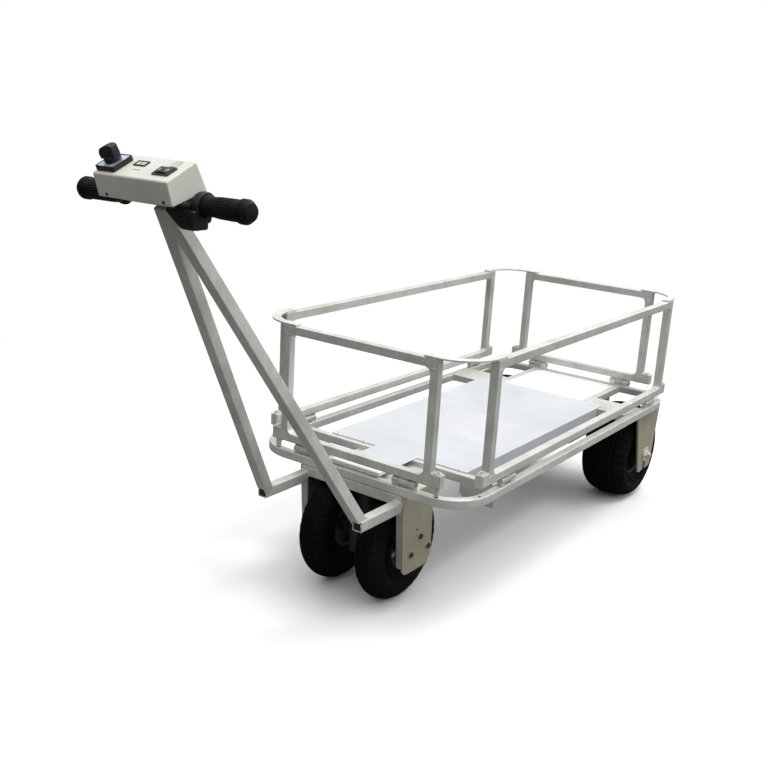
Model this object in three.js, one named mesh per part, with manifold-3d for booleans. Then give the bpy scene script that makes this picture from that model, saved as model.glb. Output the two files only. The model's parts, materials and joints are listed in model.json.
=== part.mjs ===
// Powered pull-along game cart: an aluminium tube chassis with four basket gates,
// a steered twin-wheel drive truck with a V handle, and two fixed rear wheels.
// Millimetres, +Z up, -Y towards the person who pulls the handle, +X to the right seen from
// that person's side. Every height below is taken from the ground, and the finished group is
// lowered at the end, so that the part's origin is the middle of the deck's top face.
import * as THREE from "three";
import { mergeVertices } from "three/addons/utils/BufferGeometryUtils.js";
import Module from "manifold-3d";

const wasm = await Module();
wasm.setup();

// ---------------------------------------------------------------- driving dimensions
const GAP = 0.3; // air left between two pieces that touch
const SIDES = [
  ["left", -1],
  ["right", 1],
];

// chassis
const HALF_W = 300;
const HALF_L = 584;
const CORNER_R = 100;
const TUBE = 20;
const WALL = 1.8;
const RING_TOP = 306;
const RING_LOW = RING_TOP - TUBE;
const INNER_W = HALF_W - TUBE;
const INNER_L = HALF_L - TUBE;

// basket gates
const GATE_LOW = 329;
const GATE_TOP = 605;
const GATE_H = GATE_TOP - GATE_LOW;
const SIDE_POST = HALF_L - CORNER_R;
const END_POST = HALF_W - CORNER_R;
const LUG_LENGTH = 25;
const LUG_H = 29;
const LUG_HOLE_R = 4.5;
const FILLET_R = 14;
const STRIP_T = 4;
const STRIP_LIFT = 0.8;

// gate hinges, in the gap between a gate's foot rail and the ring
const HINGE_Z = (RING_TOP + GATE_LOW) / 2;
const KNUCKLE_R = 8.5;
const PIN_R = 3;
const PIN_HOLE_R = 3.5;
const HINGE_LENGTH = 60;
const GATE_KNUCKLE = 26;
const HINGE_WEB = 5; // half the thickness of the webs that carry the knuckles
const SIDE_HINGES = [-395, 425];
const END_HINGES = [-140, 140];

// deck
const FRONT_MEMBER_Y = -415;
const REAR_MEMBER_Y = 300;
const BAY_RAIL_X = 138;
const DECK_HALF_W = 197;
const DECK_T = 2;

// wheels
const FRONT = { y: -505, z: 135, r: 135, width: 70, x: 80, rim: 52, shoulder: 1 };
const REAR = { y: 492, z: 139, r: 139, width: 136, x: 197, rim: 66, shoulder: 0.8 };

// steered truck
const BEAM = { front: -584, back: -560, low: 261, top: 285.4, halfWidth: 140.4 };
const TRUCK_PLATE = { low: 274, top: 280, back: -440 };
const BRACKET_X = 140.7;
const BRACKET_T = 5;
const BOLT_CIRCLE_R = 34;
const HALF_SHAFT_R = 8.5;
const SHAFT_BORE_R = 9.2;
const KINGPIN_R = 10;

// handle
const LEG = 24;
const LEG_X = 132;
const ARM_FRONT = -727;
const KNEE = { y: -714, z: 261 };
const BAR = { y: -1130, z: 931, r: 11, halfLength: 194 };
const GRIP_END = 202;
const LEAN = Math.atan2(KNEE.y - BAR.y, BAR.z - KNEE.z);
const LEG_SPAN = Math.hypot(KNEE.y - BAR.y, BAR.z - KNEE.z);
const LEG_TOP_X = 3; // leg centre line at the handlebar
const LEG_WELD = 0.5; // how far each leg runs past the middle plane into the other
const GRIP_R = 17;

// control box, in its own tilted frame: origin in the middle of the top panel
const BOX = { y: -1168, z: 983, tilt: 0.45, halfWidth: 87, sheet: 1.5 };
const BOX_SECTION = [
  [-34.5, 0],
  [34.5, 0],
  [36.5, -53],
  [-40.6, -40.3],
];

// ---------------------------------------------------------------- materials
const finish = (color, roughness, metalness) =>
  new THREE.MeshStandardMaterial({ color, roughness, metalness });
const aluminium = finish(0xc4c5c0, 0.45, 0.9);
const zinc = finish(0xb3ad90, 0.45, 0.7);
const steel = finish(0xa8a9a6, 0.35, 0.9);
const sheet = finish(0xdfe0e2, 0.5, 0.3);
const paint = finish(0xe6e6dc, 0.5, 0.1);
const tyreRubber = finish(0x17171a, 0.9, 0);
const rimPaint = finish(0x8e9094, 0.5, 0.6);
const blackPlastic = finish(0x1c1c1e, 0.6, 0);
const gripRubber = finish(0x202022, 0.85, 0);
const nylon = finish(0xe8e8e4, 0.5, 0);
const motorBlack = finish(0x26282b, 0.5, 0.5);

// ---------------------------------------------------------------- shape helpers
// A closed three.js geometry as a manifold-3d solid.
function solid(geometry) {
  const bare = geometry.clone();
  bare.deleteAttribute("normal");
  bare.deleteAttribute("uv");
  const merged = mergeVertices(bare, 1e-3);
  return new wasm.Manifold(
    new wasm.Mesh({
      numProp: 3,
      vertProperties: merged.attributes.position.array,
      triVerts: new Uint32Array(merged.index.array),
    }),
  );
}

function geometryOf(body) {
  const mesh = body.getMesh();
  const geometry = new THREE.BufferGeometry();
  geometry.setAttribute(
    "position",
    new THREE.BufferAttribute(new Float32Array(mesh.vertProperties), 3),
  );
  geometry.setIndex(new THREE.BufferAttribute(mesh.triVerts, 1));
  geometry.computeVertexNormals();
  return geometry;
}

function join(...parts) {
  return geometryOf(parts.map(solid).reduce((a, b) => a.add(b)));
}

function cut(base, ...tools) {
  return geometryOf(tools.map(solid).reduce((a, b) => a.subtract(b), solid(base)));
}

function box(x, y, z) {
  const block = new THREE.BoxGeometry(x[1] - x[0], y[1] - y[0], z[1] - z[0]);
  return block.translate((x[0] + x[1]) / 2, (y[0] + y[1]) / 2, (z[0] + z[1]) / 2);
}

// The frames that carry a shape's own (u, v, depth) onto each axis of the part.
const AXES = {
  x: new THREE.Matrix4().set(0, 0, 1, 0, 1, 0, 0, 0, 0, 1, 0, 0, 0, 0, 0, 1), // u=y v=z
  y: new THREE.Matrix4().set(1, 0, 0, 0, 0, 0, -1, 0, 0, 1, 0, 0, 0, 0, 0, 1), // u=x v=z
  z: new THREE.Matrix4(), // u=x v=y
};

// A flat shape pushed along one axis, from one coordinate to the other.
function prism(shape, axis, from, to, curveSegments = 5) {
  const depth = to - from;
  const block = new THREE.ExtrudeGeometry(shape, { depth, bevelEnabled: false, curveSegments });
  block.applyMatrix4(AXES[axis]);
  const start = axis === "y" ? to : from;
  const move = { x: [start, 0, 0], y: [0, start, 0], z: [0, 0, start] }[axis];
  return block.translate(...move);
}

function polygon(points) {
  return new THREE.Shape(points.map(([u, v]) => new THREE.Vector2(u, v)));
}

// A rectangle with round corners, each made of a few straight steps.
function roundedRect(u, v, radius, steps = 4) {
  const corners = [
    [u[1] - radius, v[0] + radius],
    [u[1] - radius, v[1] - radius],
    [u[0] + radius, v[1] - radius],
    [u[0] + radius, v[0] + radius],
  ];
  const points = corners.flatMap(([cu, cv], i) =>
    Array.from({ length: steps + 1 }, (_, k) => {
      const angle = ((i - 1 + k / steps) * Math.PI) / 2;
      return [cu + radius * Math.cos(angle), cv + radius * Math.sin(angle)];
    }),
  );
  return polygon(points);
}

// A round bar along an axis; a and b are its other two coordinates, in x, y, z order.
function rod(axis, radius, from, to, [a, b], segments = 16) {
  const bar = new THREE.CylinderGeometry(radius, radius, to - from, segments);
  const middle = (from + to) / 2;
  if (axis === "x") return bar.rotateZ(-Math.PI / 2).translate(middle, a, b);
  if (axis === "y") return bar.translate(a, middle, b);
  return bar.rotateX(Math.PI / 2).translate(a, b, middle);
}

// A profile of [radius, distance along] turned about the X axis.
function turned(profile, segments = 24) {
  const points = profile.map(([r, along]) => new THREE.Vector2(r, along));
  const body = new THREE.LatheGeometry(points, segments);
  return body.rotateZ(-Math.PI / 2);
}

// A hollow square tube along an axis, open at both ends.
function squareTube(axis, size, from, to, [u, v], wall = WALL) {
  const half = size / 2;
  const outline = roundedRect([u - half, u + half], [v - half, v + half], 1.5, 1);
  const inner = half - wall;
  outline.holes.push(
    polygon([
      [u - inner, v - inner],
      [u - inner, v + inner],
      [u + inner, v + inner],
      [u + inner, v - inner],
    ]),
  );
  return prism(outline, axis, from, to);
}

const cart = new THREE.Group();

function add(name, geometry, material, parent = cart) {
  const mesh = new THREE.Mesh(geometry, material);
  mesh.name = name;
  parent.add(mesh);
  return mesh;
}

// ---------------------------------------------------------------- chassis
// The lock-pin holes: one under each gate lug.
const endLugX = END_POST + TUBE / 2 + LUG_LENGTH / 2;
const sideLugY = SIDE_POST + TUBE / 2 + LUG_LENGTH / 2;

function lockHoles() {
  const holes = [];
  for (const sx of [-1, 1]) {
    for (const sy of [-1, 1]) {
      holes.push([sx * endLugX, sy * (HALF_L - TUBE / 2)]);
      holes.push([sx * (HALF_W - TUBE / 2 - 2), sy * sideLugY]);
    }
  }
  return holes.map((place) => rod("z", LUG_HOLE_R, RING_LOW - 1, RING_TOP + 1, place, 8));
}

// One closed square tube bent round four corners, drilled for the lock pins.
function baseRing() {
  const outline = (inset) =>
    roundedRect([-HALF_W + inset, HALF_W - inset], [-HALF_L + inset, HALF_L - inset], CORNER_R - inset, 6);
  const ring = (inset, low, top) => {
    const shape = outline(inset);
    shape.holes.push(outline(TUBE - inset));
    return prism(shape, "z", low, top);
  };
  return cut(ring(0, RING_LOW, RING_TOP), ring(WALL, RING_LOW + WALL, RING_TOP - WALL), ...lockHoles());
}

const MEMBER_Z = (RING_LOW + RING_TOP) / 2;

function crossMember(y) {
  return squareTube("x", TUBE, -INNER_W + GAP, INNER_W - GAP, [y, MEMBER_Z]);
}

// The front cross member, with a gusset plate welded under each end and the pivot plate
// that reaches forward from it to the ring.
const GUSSET = { x: [190, INNER_W - GAP], low: 250, t: 4 };
const PIVOT_PLATE = { halfWidth: 100, low: 288, top: 294 };

function frontMember() {
  const front = FRONT_MEMBER_Y - TUBE / 2;
  const gussets = [-1, 1].map((s) =>
    mirrored(box(GUSSET.x, [front, front + GUSSET.t], [GUSSET.low, RING_LOW + 1]), s, 1),
  );
  const { halfWidth, low, top } = PIVOT_PLATE;
  const plate = box([-halfWidth, halfWidth], [-INNER_L + GAP, front + 1], [low, top]);
  const hole = rod("z", KINGPIN_R + 0.6, low - 1, top + 1, [0, FRONT.y], 20);
  return cut(join(crossMember(FRONT_MEMBER_Y), ...gussets, plate), hole);
}

// The rear cross member with the two rails that box in the battery bay and a flat plate in
// each corner beside them, welded as one.
const CORNER_PLATE = { back: 390, t: 4 };

function bayFrame() {
  const rail = (sx) =>
    squareTube("y", TUBE, REAR_MEMBER_Y + TUBE / 2 - 1, INNER_L - GAP, [sx * BAY_RAIL_X, MEMBER_Z]);
  const side = TUBE / 2 - 1;
  const top = RING_TOP - 0.5;
  const plate = box(
    [BAY_RAIL_X + side, INNER_W - GAP],
    [REAR_MEMBER_Y + side, CORNER_PLATE.back],
    [top - CORNER_PLATE.t, top],
  );
  const plates = [-1, 1].map((s) => mirrored(plate, s, 1));
  return join(crossMember(REAR_MEMBER_Y), rail(-1), rail(1), ...plates);
}

// Smooth sheet with a tongue that runs forward over the pivot plate.
const TONGUE_HALF_W = 60;
const DECK_FRONT = FRONT_MEMBER_Y + 6;
const DECK_BACK = 324;

function deckPlate() {
  const outline = polygon([
    [-TONGUE_HALF_W, -HALF_L + TUBE - 6],
    [TONGUE_HALF_W, -HALF_L + TUBE - 6],
    [TONGUE_HALF_W, DECK_FRONT],
    [DECK_HALF_W, DECK_FRONT],
    [DECK_HALF_W, DECK_BACK],
    [-DECK_HALF_W, DECK_BACK],
    [-DECK_HALF_W, DECK_FRONT],
    [-TONGUE_HALF_W, DECK_FRONT],
  ]);
  return prism(outline, "z", RING_TOP + GAP, RING_TOP + GAP + DECK_T);
}

// Nylon ring that carries the chassis on the truck's top plate.
function turntableRing() {
  const low = TRUCK_PLATE.top + GAP;
  const top = PIVOT_PLATE.low - GAP;
  return cut(
    rod("z", 54, low, top, [0, FRONT.y], 24),
    rod("z", 24, low - 1, top + 1, [0, FRONT.y], 20),
  );
}

// ---------------------------------------------------------------- gates
// A gate seen square on: posts at +-post, rails at the foot and the top, lugs at the foot.
function gateFrame(axis, post, from) {
  const to = from + TUBE;
  const half = TUBE / 2;
  const outerShape = (inset, reach) => {
    const end = post + half + reach;
    const side = post + half - inset;
    const foot = LUG_H - inset;
    const low = [
      [-end, inset],
      [end, inset],
      [end, foot],
      [side, foot],
    ];
    const high = [
      [side, GATE_H - inset],
      [-side, GATE_H - inset],
      [-side, foot],
      [-end, foot],
    ];
    const shape = polygon([...low, ...high].map(([u, v]) => [u, v + GATE_LOW]));
    const window = post - half + inset;
    const sill = [GATE_LOW + TUBE - inset, GATE_TOP - TUBE + inset];
    shape.holes.push(roundedRect([-window, window], sill, FILLET_R + inset, 3));
    return shape;
  };
  const body = prism(outerShape(0, LUG_LENGTH), axis, from, to);
  const bore = prism(outerShape(WALL, LUG_LENGTH + 1), axis, from + WALL, to - WALL);
  return cut(body, bore);
}

function placeOnGate(axis, along, across) {
  return axis === "x" ? [across, along] : [along, across];
}

// The raised eye on each lug, bored for a lock pin.
function lugEyes(axis, post, from) {
  const middle = from + TUBE / 2;
  const along = post + TUBE / 2 + LUG_LENGTH / 2;
  return [-1, 1].map((s) => {
    const place = placeOnGate(axis, s * along, middle);
    return {
      eye: rod("z", 9, GATE_LOW + LUG_H - 1, GATE_LOW + LUG_H + 3, place, 12),
      hole: rod("z", LUG_HOLE_R, GATE_LOW - 1, GATE_LOW + LUG_H + 4, place, 8),
    };
  });
}

// A hinge's axis runs under the middle of the gate's foot rail. out is the sign of the
// outward direction, and along is the hinge's middle on the other axis.
function hingeLine(axis, out) {
  return out * ((axis === "x" ? HALF_W : HALF_L) - TUBE / 2);
}

function hingeRod(axis, out, along, length, radius, segments = 12) {
  const span = [along - length / 2, along + length / 2];
  const place = [hingeLine(axis, out), HINGE_Z];
  return rod(axis === "x" ? "y" : "x", radius, ...span, place, segments);
}

function hingeBlock(axis, out, along, halfWidth, z) {
  const centre = hingeLine(axis, out);
  const across = [centre - halfWidth, centre + halfWidth];
  return axis === "x" ? box(across, along, z) : box(along, across, z);
}

// The gate's half of one hinge: a knuckle and the web that joins it to the foot rail.
function gateKnuckle(axis, out, along) {
  const span = [along - GATE_KNUCKLE / 2, along + GATE_KNUCKLE / 2];
  const web = hingeBlock(axis, out, span, HINGE_WEB, [HINGE_Z, GATE_LOW + 1]);
  return {
    add: [hingeRod(axis, out, along, GATE_KNUCKLE, KNUCKLE_R), web],
    bore: hingeRod(axis, out, along, GATE_KNUCKLE + 2, PIN_HOLE_R),
  };
}

// The chassis half: a foot strip on the ring and two knuckles on webs.
function hingeBracket(axis, out, along) {
  const low = RING_TOP + GAP;
  const footTop = low + 1.7;
  const span = [along - HINGE_LENGTH / 2, along + HINGE_LENGTH / 2];
  const foot = hingeBlock(axis, out, span, KNUCKLE_R, [low, footTop]);
  const web = hingeBlock(axis, out, span, HINGE_WEB, [low + 1, HINGE_Z]);
  const half = GATE_KNUCKLE / 2 + 0.5;
  const room = [footTop, HINGE_Z + KNUCKLE_R + 1];
  const clear = hingeBlock(axis, out, [along - half, along + half], KNUCKLE_R + 2, room);
  const barrel = hingeRod(axis, out, along, HINGE_LENGTH, KNUCKLE_R);
  const bore = hingeRod(axis, out, along, HINGE_LENGTH + 2, PIN_HOLE_R);
  return cut(join(foot, web, barrel), clear, bore);
}

function hingePin(axis, out, along) {
  return hingeRod(axis, out, along, HINGE_LENGTH + 6, PIN_R, 10);
}

// A flat bar bent round the corner, welded to the side gate and lying over the end gate.
function cornerStrip(sx, sy) {
  const inner = CORNER_R - TUBE;
  const centreX = HALF_W - CORNER_R;
  const centreY = HALF_L - CORNER_R;
  const tail = 26;
  const shape = new THREE.Shape();
  shape.moveTo(HALF_W, centreY - tail);
  shape.absarc(centreX, centreY, CORNER_R, 0, Math.PI / 2);
  shape.lineTo(centreX - tail, HALF_L);
  shape.lineTo(centreX - tail, INNER_L);
  shape.absarc(centreX, centreY, inner, Math.PI / 2, 0, true);
  shape.lineTo(INNER_W, centreY - tail);
  const low = GATE_TOP + STRIP_LIFT;
  const bar = prism(shape, "z", low, low + STRIP_T, 6);
  const pad = box([INNER_W, HALF_W], [centreY - tail, centreY + 8], [GATE_TOP - 1, low + 1]);
  return [bar, pad].map((piece) => mirrored(piece, sx, sy));
}

// A copy mirrored in X and/or Y, with its faces kept pointing out.
function mirrored(geometry, sx, sy) {
  const copy = geometry.clone().scale(sx, sy, 1);
  if (sx * sy > 0) return copy;
  const flat = copy.index ? copy.toNonIndexed() : copy;
  const p = flat.attributes.position;
  for (let i = 0; i < p.count; i += 3) {
    const [ax, ay, az] = [p.getX(i), p.getY(i), p.getZ(i)];
    p.setXYZ(i, p.getX(i + 1), p.getY(i + 1), p.getZ(i + 1));
    p.setXYZ(i + 1, ax, ay, az);
  }
  return flat;
}

function hingedGate(axis, out, post, hinges, extras) {
  const from = out > 0 ? (axis === "x" ? INNER_W : INNER_L) : axis === "x" ? -HALF_W : -HALF_L;
  const eyes = lugEyes(axis, post, from);
  const knuckles = hinges.map((along) => gateKnuckle(axis, out, along));
  const body = join(
    gateFrame(axis, post, from),
    ...eyes.map((e) => e.eye),
    ...knuckles.flatMap((k) => k.add),
    ...extras,
  );
  return cut(body, ...eyes.map((e) => e.hole), ...knuckles.map((k) => k.bore));
}

// Short stems under the front gate's lugs, which hold it off the ring.
function frontStems() {
  const y = -HALF_L + TUBE / 2;
  return [-1, 1].map((s) => rod("z", 6, RING_TOP + 2.5, GATE_LOW + 1, [s * endLugX, y], 12));
}

// ---------------------------------------------------------------- wheels
const WHEEL_STEPS = 24; // a rim has half as many, so its corners fall on the tyre's

// Tyre section: two beads on the rim, joined over the tread by an arc that is round
// where shoulder is 1 and squarer below 1.
function tyre(wheel) {
  const half = wheel.width / 2;
  const bead = half * 0.66;
  const seat = wheel.rim + GAP;
  const side = (wheel.r + seat) / 2;
  const steps = 8;
  const soften = (t) => Math.sign(t) * Math.abs(t) ** wheel.shoulder;
  const arc = Array.from({ length: steps + 1 }, (_, i) => {
    const angle = (i / steps - 0.5) * Math.PI;
    const height = Math.max(0, Math.cos(angle));
    return [side + (wheel.r - side) * soften(height), half * soften(Math.sin(angle))];
  });
  const profile = [
    [seat, -bead],
    [seat + 10, -bead - 3],
    ...arc,
    [seat + 10, bead + 3],
    [seat, bead],
    [seat, -bead],
  ];
  return turned(profile, WHEEL_STEPS);
}

// Drive wheel rim, pressed on its half shaft. The shaft points along +X.
function driveRim() {
  const shaftIn = 16 - FRONT.x;
  const shaftOut = BRACKET_X - 1 - FRONT.x;
  const lip = FRONT.width * 0.33;
  const profile = [
    [0, shaftIn],
    [HALF_SHAFT_R, shaftIn],
    [HALF_SHAFT_R, -30],
    [20, -30],
    [20, -6],
    [44, -6],
    [44, -lip],
    [FRONT.rim, -lip],
    [FRONT.rim, lip],
    [44, lip],
    [44, 4],
    [20, 4],
    [20, 32],
    [HALF_SHAFT_R, 32],
    [HALF_SHAFT_R, shaftOut],
    [0, shaftOut],
  ];
  return turned(profile, WHEEL_STEPS / 2);
}

const REAR_AXLE_R = 7;
const REAR_HUB_HALF = 66;

// Wide rear rim with a plain bored hub.
function rearRim() {
  const lip = REAR.width * 0.33;
  const bore = REAR_AXLE_R + 0.6;
  const profile = [
    [bore, -REAR_HUB_HALF],
    [18, -REAR_HUB_HALF],
    [18, -5],
    [58, -5],
    [58, -lip],
    [REAR.rim, -lip],
    [REAR.rim, lip],
    [58, lip],
    [58, 5],
    [18, 5],
    [18, REAR_HUB_HALF],
    [bore, REAR_HUB_HALF],
    [bore, -REAR_HUB_HALF],
  ];
  return turned(profile, WHEEL_STEPS / 2);
}

// ---------------------------------------------------------------- rear forks
const FORK_OUT = [273, 279];
const FORK_IN = [115, 121];
const FORK_TOP_T = 4;
const FORK_TOP_Y = [400, 454];
const AXLE_WASHER_R = 22;

function forkPlate() {
  const shape = new THREE.Shape();
  shape.moveTo(396, RING_LOW - GAP);
  shape.lineTo(446, 104);
  shape.quadraticCurveTo(449, 90, 460, 90);
  shape.lineTo(REAR.y - REAR_AXLE_R - 1, 93);
  shape.lineTo(REAR.y - REAR_AXLE_R - 1, REAR.z);
  shape.absarc(REAR.y, REAR.z, REAR_AXLE_R + 1, Math.PI, 0, true);
  shape.lineTo(REAR.y + REAR_AXLE_R + 1, 93);
  shape.lineTo(524, 94);
  shape.quadraticCurveTo(536, 95, 538, 108);
  shape.lineTo(562, RING_LOW - GAP);
  return shape;
}

// Two slotted plates under one top plate, welded as one.
function rearFork(s) {
  const top = box([FORK_IN[0], FORK_OUT[1]], FORK_TOP_Y, [RING_LOW - GAP - FORK_TOP_T, RING_LOW - GAP]);
  const plates = [FORK_IN, FORK_OUT].map((x) => prism(forkPlate(), "x", ...x, 4));
  return mirrored(join(top, ...plates), s, 1);
}

// Axle bolt, head at the inner plate.
function rearAxle() {
  const place = [REAR.y, REAR.z];
  return join(
    rod("x", REAR_AXLE_R, FORK_IN[0] - 4, 296, place, 14),
    rod("x", 12, FORK_IN[0] - 10, FORK_IN[0] - GAP, place, 6),
  );
}

function axleNut() {
  const place = [REAR.y, REAR.z];
  const washer = rod("x", AXLE_WASHER_R, FORK_OUT[1] + GAP, FORK_OUT[1] + 3, place, 18);
  const nut = rod("x", 12, FORK_OUT[1] + 2, FORK_OUT[1] + 11, place, 6);
  return cut(join(washer, nut), rod("x", REAR_AXLE_R + GAP, 270, 300, place, 14));
}

// ---------------------------------------------------------------- battery
const CASE = { x: [-106, 106], y: [328, 556], z: [168, 300], wall: 2 };

function batteryCase() {
  const { x, y, z, wall } = CASE;
  const room = box(
    [x[0] + wall, x[1] - wall],
    [y[0] + wall, y[1] - wall],
    [z[0] + wall, z[1] + 1],
  );
  return cut(box(x, y, z), room);
}

function batteryLid() {
  const x = BAY_RAIL_X - TUBE / 2 - GAP;
  const y = [REAR_MEMBER_Y + TUBE / 2 + GAP, INNER_L - 2];
  return prism(roundedRect([-x, x], y, 4, 2), "z", CASE.z[1] + GAP, CASE.z[1] + 4);
}

function batteryPack() {
  return box([CASE.x[0] + 8, CASE.x[1] - 8], [CASE.y[0] + 8, CASE.y[1] - 8], [CASE.z[0] + 3, 278]);
}

// ---------------------------------------------------------------- truck
// The beam across the truck's front, with the top plate welded behind it.
function truckBeam() {
  const size = BEAM.back - BEAM.front;
  const at = [(BEAM.front + BEAM.back) / 2, (BEAM.low + BEAM.top) / 2];
  const beam = squareTube("x", size, -BEAM.halfWidth, BEAM.halfWidth, at, 2);
  const plate = box(
    [-BEAM.halfWidth, BEAM.halfWidth],
    [BEAM.back - 1, TRUCK_PLATE.back],
    [TRUCK_PLATE.low, TRUCK_PLATE.top],
  );
  return join(beam, plate);
}

// Side plate with a folded front flange, a spare hole and three bearing bolts.
function sideBracket(s) {
  const shape = new THREE.Shape();
  shape.moveTo(BEAM.front, BEAM.top);
  shape.lineTo(-568, 108);
  shape.quadraticCurveTo(-566, 96, -552, 94);
  shape.lineTo(-482, 90);
  shape.lineTo(-456, 112);
  shape.lineTo(-462, BEAM.top);
  shape.holes.push(new THREE.Path().absarc(-519, 188, 3.5, 0, 2 * Math.PI, true));
  const plate = prism(shape, "x", BRACKET_X, BRACKET_X + BRACKET_T, 4);
  const edge = (z) => BEAM.front + ((BEAM.top - z) * 16) / (BEAM.top - 108);
  const flangeTop = BEAM.low - GAP;
  const flange = polygon([
    [edge(flangeTop), flangeTop],
    [edge(112), 112],
    [edge(112) + 5, 112],
    [edge(flangeTop) + 5, flangeTop],
  ]);
  const bolts = [0, 1, 2].map((i) => {
    const a = (i * Math.PI) / 2;
    const at = [FRONT.y + BOLT_CIRCLE_R * Math.cos(a), FRONT.z + BOLT_CIRCLE_R * Math.sin(a)];
    return rod("x", 5.5, BRACKET_X + 2, BRACKET_X + BRACKET_T + 3.5, at, 8);
  });
  return mirrored(join(plate, prism(flange, "x", 127, BRACKET_X + 1), ...bolts), s, 1);
}

function bearingHousing(s) {
  const at = [FRONT.y, FRONT.z];
  const face = BRACKET_X - GAP;
  const flange = rod("x", 42, face - 4, face, at, 20);
  const boss = rod("x", 22, face - 14, face - 2, at, 16);
  return mirrored(cut(join(flange, boss), rod("x", SHAFT_BORE_R, face - 20, face + 1, at, 16)), s, 1);
}

function kingpin() {
  const profile = [
    [0, 0],
    [KINGPIN_R, 0],
    [KINGPIN_R, 14],
    [17, 14],
    [17, 22.5],
    [KINGPIN_R, 22.5],
    [KINGPIN_R, 24],
    [0, 24],
  ];
  const pin = turned(profile, 18).rotateY(-Math.PI / 2);
  return pin.translate(0, FRONT.y, TRUCK_PLATE.top + GAP);
}

const GEAR_HALF = 28;
const GEAR_R = 44;

// Right-angle differential gear case between the drive wheels, with its motor pad.
function gearCase() {
  const at = [FRONT.y, FRONT.z];
  const drum = rod("x", GEAR_R, -GEAR_HALF, GEAR_HALF, at, 20);
  const pad = box([-22, 22], [FRONT.y - 22, FRONT.y + 22], [FRONT.z + 30, FRONT.z + GEAR_R + 3]);
  const bores = [-1, 1].map((s) =>
    mirrored(rod("x", SHAFT_BORE_R, 14, GEAR_HALF + 1, at, 16), s, 1),
  );
  return cut(join(drum, pad), ...bores);
}

function driveMotor() {
  const low = FRONT.z + GEAR_R + 3 + GAP;
  const can = rod("z", 30, low, TRUCK_PLATE.low - 6, [0, FRONT.y], 20);
  const flange = box([-34, 34], [FRONT.y - 34, FRONT.y + 34], [TRUCK_PLATE.low - 7, TRUCK_PLATE.low - GAP]);
  return join(can, flange);
}

// ---------------------------------------------------------------- handle
// One leg and the arm under it, welded and hollow, on the +X side.
function handleLeg() {
  const slope = (LEG_X - LEG_TOP_X) / LEG_SPAN;
  const top = LEG_SPAN - BAR.r - 1;
  const outline = (inset, low, high) => {
    const half = (LEG / 2) * Math.hypot(1, slope) - inset;
    const centre = (h) => LEG_X - slope * h;
    const plane = inset - LEG_WELD;
    const meet = (LEG_X - half - plane) / slope;
    return polygon([
      [centre(low) - half, low],
      [centre(low) + half, low],
      [centre(high) + half, high],
      [plane, high],
      [plane, meet],
    ]);
  };
  const lean = (piece) => piece.rotateX(LEAN).translate(0, KNEE.y, KNEE.z);
  const half = LEG / 2;
  const leg = lean(prism(outline(0, -4, top), "y", -half, half));
  const legBore = lean(prism(outline(2, 0, top - 3), "y", -half + 2, half - 2));
  const square = (h) => roundedRect([LEG_X - h, LEG_X + h], [KNEE.z - h, KNEE.z + h], 1.5, 1);
  const armEnd = BEAM.front - GAP;
  const arm = prism(square(half), "y", ARM_FRONT, armEnd);
  const armBore = prism(square(half - 2), "y", ARM_FRONT - 1, armEnd + 1);
  return cut(join(leg, arm), legBore, armBore);
}

// Both legs, welded together where they meet under the handlebar.
function handleFrame() {
  const leg = handleLeg();
  return join(leg, mirrored(leg, -1, 1));
}

function handlebar() {
  return rod("x", BAR.r, -BAR.halfLength, BAR.halfLength, [BAR.y, BAR.z], 16);
}

// A closed-ended grip slipped over the bar between two distances along X.
function grip(inner, outer) {
  const profile = [
    [BAR.r + 0.5, inner],
    [GRIP_R + 3, inner],
    [GRIP_R + 3, inner + 5],
    [GRIP_R - 1, inner + 8],
    [GRIP_R, (inner + outer) / 2],
    [GRIP_R - 1, outer - 26],
    [GRIP_R + 2, outer - 22],
    [GRIP_R + 2, outer - 8],
    [GRIP_R - 4, outer],
    [0, outer],
    [0, BAR.halfLength + 2],
    [BAR.r + 0.5, BAR.halfLength + 2],
    [BAR.r + 0.5, inner],
  ];
  return turned(profile, 16).translate(0, BAR.y, BAR.z);
}

const HOUSING = { in: 88, out: 105, r: 22 };
const LOBE = { in: 40, front: 30, back: 4, low: 38, top: 6 }; // all but in are from the bar's axis

// The throttle's drum beside the grip, and the lobe under the bar that holds its works.
function throttleHousing() {
  const at = [BAR.y, BAR.z];
  const drum = rod("x", HOUSING.r, HOUSING.in, HOUSING.out, at, 18);
  const lobe = prism(
    roundedRect([BAR.y - LOBE.front, BAR.y + LOBE.back], [BAR.z - LOBE.low, BAR.z - LOBE.top], 8, 3),
    "x",
    LOBE.in,
    HOUSING.out,
  );
  const bore = rod("x", BAR.r + GAP, LOBE.in - 5, HOUSING.out + 5, at, 16);
  return cut(join(drum, lobe), bore);
}

// ---------------------------------------------------------------- control box
const SWITCH = { x: -62, y: -5, half: 22.5, top: 9 };
const ROCKER = { x: 55, y: -6, halfX: 16, halfY: 10 };

function insetSection(inset) {
  const [a, b, c, d] = BOX_SECTION;
  return [
    [a[0] + inset, a[1] - inset],
    [b[0] - inset, b[1] - inset],
    [c[0] - inset, c[1] - 3],
    [d[0] + inset, d[1] - 3],
  ];
}

// Folded cover: a top, a front, a back and two ends, open below.
function boxCover() {
  const half = BOX.halfWidth;
  const shell = prism(polygon(BOX_SECTION), "x", -half, half);
  const room = prism(polygon(insetSection(BOX.sheet)), "x", -half + BOX.sheet, half - BOX.sheet);
  const slot = box(
    [ROCKER.x - ROCKER.halfX, ROCKER.x + ROCKER.halfX],
    [ROCKER.y - ROCKER.halfY, ROCKER.y + ROCKER.halfY],
    [-8, 2],
  );
  const spindleHole = rod("z", 7, -8, 2, [SWITCH.x, SWITCH.y], 14);
  return cut(shell, room, slot, spindleHole);
}

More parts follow.
